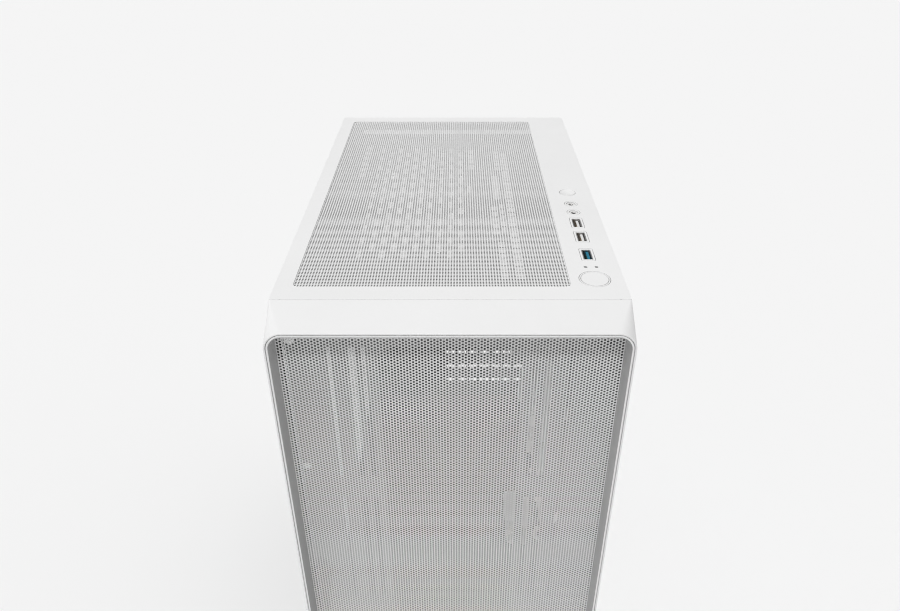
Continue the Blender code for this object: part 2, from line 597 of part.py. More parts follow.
def fan_frame(name, at, turn, side, depth, bore, hub, motor_depth=0.004):
    """Square frame with a round duct; four struts carry the motor plate at the local -Z end."""
    half = side / 2
    back = -depth / 2
    struts = [rod((0, 0, back + motor_depth / 2), hub, motor_depth, "Z", 20)]
    reach = bore + 0.0015
    struts.append(block((-reach, -0.0018, back), (reach, 0.0018, back + 0.0030)))
    struts.append(block((-0.0018, -reach, back), (0.0018, reach, back + 0.0030)))
    screw = half - 0.0075
    holes = [rod((x, y, 0), 0.0022, depth + 0.002, "Z", 8) for x in (-screw, screw) for y in (-screw, screw)]
    part(name, white_plastic, [block((-half, -half, back), (half, half, -back), "Z", 0.004, 3)],
         cuts=[rod((0, 0, 0), bore, depth + 0.002, "Z", 32)] + holes, then_joins=struts, at=at, turn=turn)


def make_rear_fan():
    middle = (FAN_X, REAR_Y - GAP - 0.0125, FAN_Z)
    turn = (math.pi / 2, 0, 0)
    fan_frame("rear_fan_frame", middle, turn, 0.120, 0.025, 0.0575, 0.0200)
    fan_rotor("rear_fan_rotor", (middle[0], middle[1] - 0.0025, middle[2]), turn, 0.0560, 0.0205, 0.0185)


# ---- power supply -------------------------------------------------------------------------------------
def make_power_supply():
    """Case with a round air hole below and a grille behind; its fan, mains inlet and switch."""
    low = (PSU_X - PSU_W / 2, REAR_Y - GAP - PSU_L, PSU_Z)
    high = (PSU_X + PSU_W / 2, REAR_Y - GAP, PSU_Z + PSU_H)
    back = high[1]
    fan_at = (PSU_X, (low[1] + back) / 2 - 0.003, PSU_Z + PSU_WALL + GAP + 0.0125)
    inlet_x, inlet_z = PSU_X + 0.044, PSU_Z + 0.043
    rocker_z = PSU_Z + 0.0685

    def behind(z, half_x, half_z, low_y, high_y, *rounding):
        return block((inlet_x - half_x, low_y, z - half_z), (inlet_x + half_x, high_y, z + half_z), *rounding)

    cuts = [block([c + PSU_WALL for c in low], [c - PSU_WALL for c in high]),
            rod((fan_at[0], fan_at[1], PSU_Z), 0.0555, 0.008, "Z", 40),
            behind(inlet_z, 0.0140, 0.0102, back - 0.004, back + 0.004),
            behind(rocker_z, 0.0098, 0.0068, back - 0.004, back + 0.004),
            block((PSU_X - 0.058, low[1] - 0.004, PSU_Z + 0.045), (PSU_X - 0.020, low[1] + 0.004, PSU_Z + 0.070),
                  "Y", 0.005, 3)]
    cuts += hexagons(PSU_X - 0.022, PSU_Z + PSU_H / 2, 0.034, 0.0140, 0.0140, back - 0.004, back + 0.004)
    part("psu_case", white_steel, [block(low, high)], cuts=cuts)
    turn = (math.pi, 0, 0)
    fan_frame("psu_fan_frame", fan_at, turn, 0.120, 0.025, 0.0575, 0.0200)
    fan_rotor("psu_fan_rotor", (fan_at[0], fan_at[1], fan_at[2] - 0.0025), turn, 0.0560, 0.0205, 0.0185)

    out = REAR_Y + SHEET + 0.0015
    flange = block((inlet_x - 0.0160, back + GAP, inlet_z - 0.0122), (inlet_x + 0.0160, out, rocker_z + 0.0086))
    pins = [block((inlet_x + x - 0.0010, back - 0.0165, inlet_z + z - 0.0020),
                  (inlet_x + x + 0.0010, out - 0.003, inlet_z + z + 0.0020))
            for x, z in ((-0.007, -0.002), (0.0, 0.002), (0.007, -0.002))]
    part("mains_inlet", dark_plastic, [behind(inlet_z, 0.0136, 0.0098, back - 0.020, out)],
         joins=[flange, behind(rocker_z, 0.0094, 0.0064, back - 0.010, out - 0.0005)],
         cuts=[behind(inlet_z, 0.0120, 0.0080, back - 0.016, out + 0.002, "Y", 0.003, 2),
               behind(rocker_z, 0.0080, 0.0050, back - 0.008, out + 0.002)],
         then_joins=pins)
    part("switch_rocker", dark_plastic, [rod((0, 0, 0), 0.0072, 0.0090, "Z", 32)],
         cuts=[block((-0.02, -0.02, -0.02), (0.02, -0.0008, 0.02)),
               block((-0.02, 0.0052, -0.02), (0.02, 0.02, 0.02))],
         at=(inlet_x, out - 0.0050, rocker_z), turn=(0, 0, math.radians(-ROCKER_TILT)), smooth=40)


# ---- motherboard and what sits on it ------------------------------------------------------------------
def make_motherboard():
    face = BOARD_X - GAP
    joins, cuts = [], []
    low_z = CPU_Z - 0.046
    for y in MEMORY_Y:
        joins.append(block((face - 0.0040, y - 0.0036, low_z - 0.004),
                           (BOARD_X + 0.0004, y + 0.0036, low_z + 0.1375)))
        joins += [block((face - 0.0150, y - 0.0030, z), (face - 0.0010, y + 0.0030, z + 0.0045))
                  for z in (low_z - 0.0035, low_z + 0.1325)]
        cuts.append(block((face - 0.0160, y - 0.0010, low_z + 0.0005),
                          (face - 0.0012, y + 0.0010, low_z + 0.1330)))
    for slot, length in ((5, 0.089), (3, 0.025)):
        z = SLOT_Z + slot * SLOT_PITCH
        joins.append(block((face - 0.0110, 0.1150 - length, z - 0.0036),
                           (BOARD_X + 0.0004, 0.1150, z + 0.0036)))
        cuts.append(block((face - 0.0120, 0.1162 - length, z - 0.0010), (face - 0.0030, 0.1138, z + 0.0010)))
    for low_y, high_y, low, high in ((BOARD_Y + 0.002, BOARD_Y + 0.0115, 0.298, 0.350),
                                     (CPU_Y + 0.016, CPU_Y + 0.034, 0.4185, 0.4280)):
        joins.append(block((face - 0.0130, low_y, low), (BOARD_X + 0.0004, high_y, high)))
        cuts.append(block((face - 0.0140, low_y + 0.0013, low + 0.0013),
                          (face - 0.0040, high_y - 0.0013, high - 0.0013)))
    cuts += [rod((BOARD_X, y, z), 0.002, 0.006, "X", 8)
             for y in (BOARD_Y + 0.0175, BOARD_Y + 0.100, REAR_Y - 0.0175)
             for z in (BOARD_Z + 0.008, BOARD_Z + 0.140)]
    part("motherboard", board_white,
         [block((BOARD_X, BOARD_Y, BOARD_Z), (BOARD_X + BOARD_T, BOARD_Y + BOARD_W, BOARD_Z + BOARD_H))],
         joins=joins, cuts=cuts)
    for index, y in enumerate(MEMORY_Y):
        part(f"memory_stick_{index + 1}", aluminium,
             [block((face - 0.0330, y - 0.0032, low_z + 0.0050), (face - 0.0060, y + 0.0032, low_z + 0.1285))],
             joins=[block((face - 0.0070, y - 0.0006, low_z + 0.0010),
                          (face - 0.0016, y + 0.0006, low_z + 0.1325))])
    part("chipset_heatsink", aluminium,
         [block((face - 0.0080, -0.040, 0.165), (face, 0.000, 0.205))],
         cuts=[block((face - 0.0090, y, 0.160), (face - 0.0035, y + 0.0035, 0.210))
               for y in (-0.034, -0.026, -0.018, -0.010)])
    part("regulator_heatsink", aluminium,
         [block((face - 0.0200, CPU_Y - 0.045, 0.3950), (face, CPU_Y + 0.010, 0.4150))],
         cuts=[block((face - 0.0210, CPU_Y - 0.040 + 0.009 * i, 0.390),
                     (face - 0.0070, CPU_Y - 0.036 + 0.009 * i, 0.420)) for i in range(5)])
    part("processor", aluminium,
         [block((face - 0.0044, CPU_Y - 0.0188, CPU_Z - 0.0188), (face, CPU_Y + 0.0188, CPU_Z + 0.0188))])
    sink_high = face - 0.0044 - GAP
    sink_low = sink_high - 0.0280
    part("cooler_heatsink", aluminium,
         [block((sink_low, CPU_Y - 0.045, CPU_Z - 0.045), (sink_high - 0.006, CPU_Y + 0.045, CPU_Z + 0.045))],
         joins=[rod((sink_high - 0.004, CPU_Y, CPU_Z), 0.020, 0.008, "X", 24)],
         cuts=[block((sink_low - 0.001, CPU_Y - 0.0425 + 0.0071 * i, CPU_Z - 0.050),
                     (sink_high - 0.0085, CPU_Y - 0.0380 + 0.0071 * i, CPU_Z + 0.050)) for i in range(12)])
    fan_x = sink_low - GAP - 0.0075
    turn = (0, math.pi / 2, 0)
    fan_frame("cooler_fan_frame", (fan_x, CPU_Y, CPU_Z), (0, -math.pi / 2, 0), 0.092, 0.015, 0.0435, 0.0160,
              0.003)
    fan_rotor("cooler_fan_rotor", (fan_x - 0.0018, CPU_Y, CPU_Z), turn, 0.0422, 0.0165, 0.0105)


def make_rear_ports():
    """Input/output shield in its aperture, and the block of sockets behind it."""
    low_z = SLOT_Z + SLOT_PITCH * SLOT_COUNT - 0.0088
    bays = ((0.012, 0.030), (0.036, 0.052), (0.058, 0.074), (0.080, 0.096), (0.104, 0.120), (0.126, 0.142))
    part("io_shield", bare_metal,
         [block((0.0425 + GAP, REAR_Y + GAP, low_z + GAP),
                (0.0865 - GAP, REAR_Y + SHEET, low_z + 0.15875 - GAP))],
         cuts=[block((0.0545, REAR_Y - 0.002, low_z + a), (0.0835, REAR_Y + 0.004, low_z + b))
               for a, b in bays])
    part("port_block", bare_metal,
         [block((0.0540, REAR_Y - 0.022, low_z + 0.010), (BOARD_X - GAP, REAR_Y - GAP, low_z + 0.144))],
         cuts=[block((0.0560, REAR_Y - 0.015, low_z + a + 0.001), (0.0820, REAR_Y + 0.004, low_z + b - 0.001))
               for a, b in bays])


# ---- storage ------------------------------------------------------------------------------------------
def make_storage():
    part("solid_state_drive", dark_plastic,
         [block((TRAY_X + SHEET + GAP, -0.065, 0.160), (TRAY_X + SHEET + GAP + 0.007, 0.035, 0.230),
                "X", 0.002, 2)])
    low, high = (-0.0765, -0.1395, FLOOR_Z + GAP), (0.0765, -0.0330, FLOOR_Z + 0.044)
    folded_sheet("drive_cage", white_steel, low, high, ("-X", "+X"), SHEET,
                 cuts=[block((-0.050, -0.120, high[2] - 0.004), (0.050, -0.052, high[2] + 0.004),
                             "Z", 0.008, 3)])
    part("hard_drive", bare_metal,
         [block((-0.0735, -0.1370, FLOOR_Z + 0.0065), (0.0735, -0.0354, FLOOR_Z + 0.0325), "X", 0.0015, 2)])


# ---- cables -------------------------------------------------------------------------------------------
def cable(name, radius, route, resolution=3):
    """A tube along a smooth curve through the route's points."""
    points = [Vector(p) for p in route]
    path = [points[0]]
    for i in range(len(points) - 1):
        before = points[max(i - 1, 0)]
        after = points[min(i + 2, len(points) - 1)]
        start, end = points[i], points[i + 1]
        for step in range(1, resolution + 1):
            t = step / resolution
            bend = (2 * before - 5 * start + 4 * end - after) * t ** 2
            swing = (3 * start - before - 3 * end + after) * t ** 3
            path.append(0.5 * (2 * start + (end - before) * t + bend + swing))
    curve = bpy.data.curves.new(name, "CURVE")
    curve.dimensions = "3D"
    curve.bevel_depth = radius
    curve.bevel_resolution = 2
    curve.use_fill_caps = True
    spline = curve.splines.new("POLY")
    spline.points.add(len(path) - 1)
    for point, place_at in zip(spline.points, path):
        point.co = (*place_at, 1.0)
    curve.materials.append(cable_white)
    parts.objects.link(bpy.data.objects.new(name, curve))


def make_cables():
    behind = TRAY_X + SHEET + 0.0052
    cable("board_power_cable", 0.0045,
          [(BOARD_X - 0.0185, BOARD_Y + 0.0068, 0.324), (0.060, BOARD_Y + 0.0040, 0.324), (0.056, -0.078, 0.324),
           (0.068, -0.0945, 0.324), (0.086, -0.0965, 0.322), (0.0965, -0.0960, 0.314), (behind, -0.0950, 0.296),
           (behind, -0.090, 0.270), (behind, -0.084, 0.200), (behind, -0.070, 0.130), (behind, -0.046, 0.092),
           (0.0965, -0.022, 0.076), (0.084, -0.006, 0.074), (0.060, 0.008, 0.078), (0.010, 0.018, 0.080),
           (-0.018, 0.0240, 0.0815), (-0.0275, 0.0352, 0.0815)])
    cable("processor_power_cable", 0.0030,
          [(BOARD_X - 0.0165, CPU_Y + 0.025, 0.4232), (0.064, CPU_Y + 0.025, 0.4290), (0.070, CPU_Y + 0.014, 0.4385),
           (0.084, CPU_Y + 0.006, 0.4400), (0.0955, CPU_Y + 0.003, 0.4385), (behind, CPU_Y - 0.004, 0.4260),
           (behind, CPU_Y - 0.010, 0.395), (behind, 0.070, 0.300), (behind, 0.060, 0.200), (behind, 0.040, 0.120),
           (behind, 0.030, 0.090), (0.0960, 0.026, 0.068), (0.084, 0.020, 0.060), (0.060, 0.010, 0.056),
           (0.000, 0.006, 0.064), (-0.030, 0.020, 0.0800), (-0.0400, 0.0360, 0.0815)])
    cable("front_panel_cable", 0.0022,
          [(PORT_X, -0.100, TOP_Z - 0.0230), (PORT_X + 0.006, -0.112, 0.4350), (behind, -0.126, 0.4200),
           (behind, -0.132, 0.330), (behind, -0.112, 0.250), (0.0955, -0.096, 0.220), (0.084, -0.092, 0.190),
           (0.078, -0.084, 0.165), (0.076, -0.062, 0.146), (0.0815, -0.048, 0.138)])


make_floor()
make_rear_panel()
make_roof()
make_chassis_front()
make_tray()
make_shroud()
make_feet()
make_top_panel()
make_top_mesh()
make_bezel()
make_sides()
make_dust_filter()
make_port_strip()
make_rear_fan()
make_power_supply()
make_motherboard()
make_rear_ports()
make_storage()
make_cables()
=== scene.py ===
import json
import math
import random

import bmesh
import bpy
import numpy as np
from mathutils import Euler, Matrix, Vector

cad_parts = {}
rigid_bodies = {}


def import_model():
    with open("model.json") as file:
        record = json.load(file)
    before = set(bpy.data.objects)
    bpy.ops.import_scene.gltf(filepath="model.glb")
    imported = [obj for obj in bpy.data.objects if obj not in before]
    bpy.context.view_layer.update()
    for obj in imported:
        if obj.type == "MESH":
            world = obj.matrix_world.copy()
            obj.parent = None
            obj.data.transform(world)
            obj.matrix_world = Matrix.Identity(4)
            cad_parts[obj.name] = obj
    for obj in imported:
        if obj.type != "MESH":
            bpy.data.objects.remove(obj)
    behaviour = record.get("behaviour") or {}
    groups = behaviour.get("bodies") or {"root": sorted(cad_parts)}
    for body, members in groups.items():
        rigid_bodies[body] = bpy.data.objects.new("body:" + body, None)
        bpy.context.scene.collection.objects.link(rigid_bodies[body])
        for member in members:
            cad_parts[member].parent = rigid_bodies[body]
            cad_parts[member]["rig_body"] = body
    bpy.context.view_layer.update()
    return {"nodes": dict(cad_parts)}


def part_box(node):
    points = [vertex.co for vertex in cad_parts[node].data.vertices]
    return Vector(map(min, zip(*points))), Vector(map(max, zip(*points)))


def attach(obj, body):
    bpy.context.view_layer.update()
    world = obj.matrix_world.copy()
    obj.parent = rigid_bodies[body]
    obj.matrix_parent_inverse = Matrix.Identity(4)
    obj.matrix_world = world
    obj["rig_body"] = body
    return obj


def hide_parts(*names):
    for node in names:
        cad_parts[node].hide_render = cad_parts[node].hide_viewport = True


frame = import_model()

scene = bpy.context.scene

# the planes that everything is hung on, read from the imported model
topLow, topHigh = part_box("top_panel")
bezelLow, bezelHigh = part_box("front_bezel")
boardLow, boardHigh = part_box("motherboard")


# camera, floor and light

studio = {
    "cameraAt": (0.0040, -0.5333, 0.6912),
    "lookDown": 31.9,            # degrees under the horizon
    "shift": -0.0078,
    "lens": 29.36,
    "floorSize": 24.0,
    "floorTone": 0.913,
    "skyTone": 0.913,            # what the camera sees past the floor's edge
    "skyLight": 0.385,
    "skyLean": -0.15,            # change of the soft light from the middle to the right
    "keyFrom": (-0.34, -0.10, 0.95),
    "keyPower": 0.92,
    "keyWidth": 28.0,            # degrees across, which sets how soft the shadows are
    "fillFrom": (-0.03, -0.42, 0.91),
    "fillPower": 1.18,
    "fillWidth": 7.0,
    "filterWidth": 1.12,
    "washPower": 1.93,           # falls on the floor only
}


def aimed(direction):
    return Vector(direction).normalized().to_track_quat("Z", "Y").to_euler()


def makeSun(name, direction, power, width, shadows=True):
    lamp = bpy.data.lights.new(name, "SUN")
    lamp.energy = power
    lamp.angle = math.radians(width)
    lamp.use_shadow = shadows
    sun = bpy.data.objects.new(name, lamp)
    sun.rotation_euler = aimed(direction)
    scene.collection.objects.link(sun)
    return sun


def makeStudio():
    camera = bpy.data.cameras.new("camera")
    camera.lens = studio["lens"]
    camera.sensor_width = 36
    camera.shift_x = studio["shift"]
    camera.clip_start = 0.01
    stand = bpy.data.objects.new("camera", camera)
    stand.location = studio["cameraAt"]
    stand.rotation_euler = Euler((math.radians(90 - studio["lookDown"]), 0, 0))
    scene.collection.objects.link(stand)
    scene.camera = stand

    bm = bmesh.new()
    bmesh.ops.create_grid(bm, x_segments=8, y_segments=8, size=studio["floorSize"] / 2)
    mesh = bpy.data.meshes.new("studioFloor")
    bm.to_mesh(mesh)
    bm.free()
    floor = bpy.data.objects.new("studioFloor", mesh)
    paint = bpy.data.materials.new("studioFloor")
    paint.use_nodes = True
    shader = paint.node_tree.nodes["Principled BSDF"]
    shader.inputs["Base Color"].default_value = (studio["floorTone"],) * 3 + (1,)
    shader.inputs["Roughness"].default_value = 1.0
    shader.inputs["Specular IOR Level"].default_value = 0.0
    mesh.materials.append(paint)
    scene.collection.objects.link(floor)

    key = makeSun("keyLight", studio["keyFrom"], studio["keyPower"], studio["keyWidth"])
    fill = makeSun("frontFill", studio["fillFrom"], studio["fillPower"], studio["fillWidth"])
    wash = makeSun("floorWash", (0, 0, 1), studio["washPower"], 60, shadows=False)
    onFloor = bpy.data.collections.new("litByWash")
    onFloor.objects.link(floor)
    wash.light_linking.receiver_collection = onFloor
    keyless = bpy.data.collections.new("keyLightPassesBy")
    keyless.objects.link(floor)
    key.light_linking.receiver_collection = keyless
    fill.light_linking.receiver_collection = keyless

    world = bpy.data.worlds.new("studioSky")
    world.use_nodes = True
    scene.world = world
    tree = world.node_tree
    tree.nodes.clear()
    seen = tree.nodes.new("ShaderNodeBackground")
    seen.inputs["Color"].default_value = (studio["skyTone"],) * 3 + (1,)
    light = tree.nodes.new("ShaderNodeBackground")
    light.inputs["Color"].default_value = (1, 1, 1, 1)
    # the soft light is a little stronger from one side than from the other
    where = tree.nodes.new("ShaderNodeTexCoord")
    side = tree.nodes.new("ShaderNodeSeparateXYZ")
    lean = tree.nodes.new("ShaderNodeMath")
    lean.operation = "MULTIPLY_ADD"
    lean.inputs[1].default_value = studio["skyLean"]
    lean.inputs[2].default_value = studio["skyLight"]
    tree.links.new(where.outputs["Generated"], side.inputs[0])
    tree.links.new(side.outputs["X"], lean.inputs[0])
    tree.links.new(lean.outputs[0], light.inputs["Strength"])
    path = tree.nodes.new("ShaderNodeLightPath")
    mix = tree.nodes.new("ShaderNodeMixShader")
    out = tree.nodes.new("ShaderNodeOutputWorld")
    tree.links.new(path.outputs["Is Camera Ray"], mix.inputs["Fac"])
    tree.links.new(light.outputs[0], mix.inputs[1])
    tree.links.new(seen.outputs[0], mix.inputs[2])
    tree.links.new(mix.outputs[0], out.inputs["Surface"])
    scene.view_settings.view_transform = "Standard"
    scene.view_settings.look = "None"
    scene.cycles.filter_width = studio["filterWidth"]
    return keyless


keyless = makeStudio()
print("camera, floor and light are in place")


# finishes

def add(tree, kind, values=None, **settings):
    node = tree.nodes.new(kind)
    for key, value in settings.items():
        setattr(node, key, value)
    for key, value in (values or {}).items():
        if isinstance(value, bpy.types.NodeSocket):
            tree.links.new(value, node.inputs[key])
        else:
            node.inputs[key].default_value = value
    return node


def sums(tree, operation, first, second=0.0, clamp=False):
    return add(tree, "ShaderNodeMath", {0: first, 1: second},
               operation=operation, use_clamp=clamp).outputs[0]


def spread(tree, value, low, high, toLow=0.0, toHigh=1.0):
    return add(tree, "ShaderNodeMapRange", {"Value": value, "From Min": low, "From Max": high,
                                           "To Min": toLow, "To Max": toHigh}).outputs["Result"]


def blendColour(tree, share, first, second):
    node = add(tree, "ShaderNodeMix", data_type="RGBA")
    for slot, value in ((0, share), (6, first), (7, second)):
        if isinstance(value, bpy.types.NodeSocket):
            tree.links.new(value, node.inputs[slot])
        else:
            node.inputs[slot].default_value = value
    return node.outputs[2]


def newGroup(name, takes, gives):
    tree = bpy.data.node_groups.new(name, "ShaderNodeTree")
    for label, value in takes.items():
        socket = tree.interface.new_socket(label, in_out="INPUT", socket_type="NodeSocketFloat")
        socket.default_value = value
    for label in gives:
        tree.interface.new_socket(label, in_out="OUTPUT", socket_type="NodeSocketFloat")
    return tree, tree.nodes.new("NodeGroupInput").outputs, tree.nodes.new("NodeGroupOutput").inputs


def makeCoatGrain():
    # the fine skin of paint or moulded plastic, and slow clouds of tone
    tree, takes, gives = newGroup("coatGrain", {"Fine": 1400.0, "Clouds": 14.0},
                                  ("Height", "Cloud", "Speck"))
    where = add(tree, "ShaderNodeTexCoord").outputs["Object"]
    skin = add(tree, "ShaderNodeTexNoise", {"Vector": where, "Scale": takes["Fine"], "Detail": 2.5})
    cloud = add(tree, "ShaderNodeTexNoise", {"Vector": where, "Scale": takes["Clouds"], "Detail": 5.0,
                                             "Roughness": 0.6})
    dots = add(tree, "ShaderNodeTexVoronoi", {"Vector": where, "Scale": takes["Fine"]})
    tree.links.new(skin.outputs["Fac"], gives["Height"])
    tree.links.new(spread(tree, cloud.outputs["Fac"], 0.3, 0.7), gives["Cloud"])
    tree.links.new(spread(tree, dots.outputs["Distance"], 0.0, 0.35, 1.0, 0.0), gives["Speck"])
    return tree


def makeEdgeWear():
    # rubbed edges: strongest where the surface turns within the radius, broken up by noise
    tree, takes, gives = newGroup("edgeWear", {"Radius": 0.0008, "Amount": 0.5, "Breakup": 160.0}, ("Mask",))
    rounded = add(tree, "ShaderNodeBevel", {"Radius": takes["Radius"]}, samples=3)
    flat = add(tree, "ShaderNodeNewGeometry")
    turn = add(tree, "ShaderNodeVectorMath", {0: rounded.outputs["Normal"], 1: flat.outputs["Normal"]},
               operation="DOT_PRODUCT").outputs["Value"]
    edge = spread(tree, turn, 0.995, 0.85)
    where = add(tree, "ShaderNodeTexCoord").outputs["Object"]
    rough = add(tree, "ShaderNodeTexNoise", {"Vector": where, "Scale": takes["Breakup"], "Detail": 4.0})
    broken = spread(tree, rough.outputs["Fac"], 0.42, 0.62)
    tree.links.new(sums(tree, "MULTIPLY", sums(tree, "MULTIPLY", edge, broken), takes["Amount"], True),
                   gives["Mask"])
    return tree


def makeSettledDust():
    # faint dust on what faces up
    tree, takes, gives = newGroup("settledDust", {"Amount": 0.2, "Scale": 60.0}, ("Mask",))
    normal = add(tree, "ShaderNodeNewGeometry").outputs["Normal"]
    up = add(tree, "ShaderNodeSeparateXYZ", {0: normal}).outputs["Z"]
    where = add(tree, "ShaderNodeTexCoord").outputs["Object"]
    drift = add(tree, "ShaderNodeTexNoise", {"Vector": where, "Scale": takes["Scale"], "Detail": 6.0,
                                             "Roughness": 0.7})
    patches = spread(tree, drift.outputs["Fac"], 0.35, 0.75)
    lying = sums(tree, "MULTIPLY", spread(tree, up, 0.55, 1.0), patches)
    tree.links.new(sums(tree, "MULTIPLY", lying, takes["Amount"], True), gives["Mask"])
    return tree


def makeHandling():
    # finger smudges and fine wipe marks, as a roughness change
    tree, takes, gives = newGroup("handling", {"Scale": 35.0, "Amount": 0.08}, ("Change",))
    where = add(tree, "ShaderNodeTexCoord").outputs["Object"]
    smear = add(tree, "ShaderNodeTexNoise", {"Vector": where, "Scale": takes["Scale"], "Detail": 3.0,
                                             "Distortion": 1.2})
    wipe = add(tree, "ShaderNodeTexNoise", {"Vector": add(tree, "ShaderNodeMapping", {
        "Vector": where, "Scale": (40.0, 900.0, 900.0)}).outputs[0], "Scale": 1.0, "Detail": 2.0})
    both = sums(tree, "ADD", spread(tree, smear.outputs["Fac"], 0.4, 0.7),
                sums(tree, "MULTIPLY", wipe.outputs["Fac"], 0.5))
    tree.links.new(sums(tree, "MULTIPLY", both, takes["Amount"]), gives["Change"])
    return tree


def makeDrawnLines():
    # the lines that rolling or brushing leaves in bare metal, along Z
    tree, takes, gives = newGroup("drawnLines", {"Fine": 2600.0, "Stretch": 0.02}, ("Lines", "Tone"))
    where = add(tree, "ShaderNodeTexCoord").outputs["Object"]
    along = add(tree, "ShaderNodeCombineXYZ", {0: takes["Fine"], 1: takes["Fine"],
                                               2: sums(tree, "MULTIPLY", takes["Fine"], takes["Stretch"])})
    pulled = add(tree, "ShaderNodeVectorMath", {0: where, 1: along.outputs[0]},
                 operation="MULTIPLY").outputs[0]
    lines = add(tree, "ShaderNodeTexNoise", {"Vector": pulled, "Scale": 1.0, "Detail": 3.0})
    tone = add(tree, "ShaderNodeTexNoise", {"Vector": where, "Scale": 45.0, "Detail": 4.0})
    tree.links.new(lines.outputs["Fac"], gives["Lines"])
    tree.links.new(tone.outputs["Fac"], gives["Tone"])
    return tree


effects = {"grain": makeCoatGrain(), "wear": makeEdgeWear(), "dust": makeSettledDust(),
           "handling": makeHandling(), "lines": makeDrawnLines()}


def effect(tree, name, **values):
    node = add(tree, "ShaderNodeGroup", node_tree=effects[name])
    for label, value in values.items():
        node.inputs[label[0].upper() + label[1:]].default_value = value
    return node.outputs


def newFinish(name):
    material = bpy.data.materials.new(name)
    material.use_nodes = True
    tree = material.node_tree
    return material, tree, tree.nodes["Principled BSDF"]


def link(tree, value, socket):
    tree.links.new(value, socket)


def raised(tree, shader, height, depth, strength=1.0):
    bump = add(tree, "ShaderNodeBump", {"Height": height, "Strength": strength, "Distance": depth})
    link(tree, bump.outputs["Normal"], shader.inputs["Normal"])


def grey(value, warm=0.0):
    return (value + warm, value, value - warm, 1.0)


def makeCoat(name, look):
    # painted steel or moulded plastic: tone clouds, grain, worn edges, a little dust, and, where asked,
    # painted shade on faces that look into the case
    material, tree, shader = newFinish(name)
    skin = effect(tree, "grain", fine=look["fine"], clouds=look["clouds"])
    colour = blendColour(tree, skin["Cloud"], look["dark"], look["light"])
    if look.get("wear"):
        worn = effect(tree, "wear", radius=look["wearRadius"], amount=look["wear"])["Mask"]
        colour = blendColour(tree, worn, colour, look["under"])
    if look.get("dust"):
        lying = effect(tree, "dust", amount=look["dust"])["Mask"]
        colour = blendColour(tree, lying, colour, (0.70, 0.69, 0.67, 1))
    if look.get("inside"):
        # painted shade: the faces that look forwards into the case are darkened, standing in for the shade
        # inside the case
        normal = add(tree, "ShaderNodeNewGeometry").outputs["Normal"]
        facing = add(tree, "ShaderNodeSeparateXYZ", {0: normal})
        colour = blendColour(tree, spread(tree, facing.outputs["Y"], -0.2, -0.6), colour, look["inside"])
    link(tree, colour, shader.inputs["Base Color"])
    touched = effect(tree, "handling", amount=look["handling"])["Change"]
    gloss = sums(tree, "ADD", spread(tree, skin["Height"], 0.2, 0.8, look["smooth"], look["rough"]), touched)
    link(tree, gloss, shader.inputs["Roughness"])
    raised(tree, shader, skin["Height"], look["depth"])
    return material


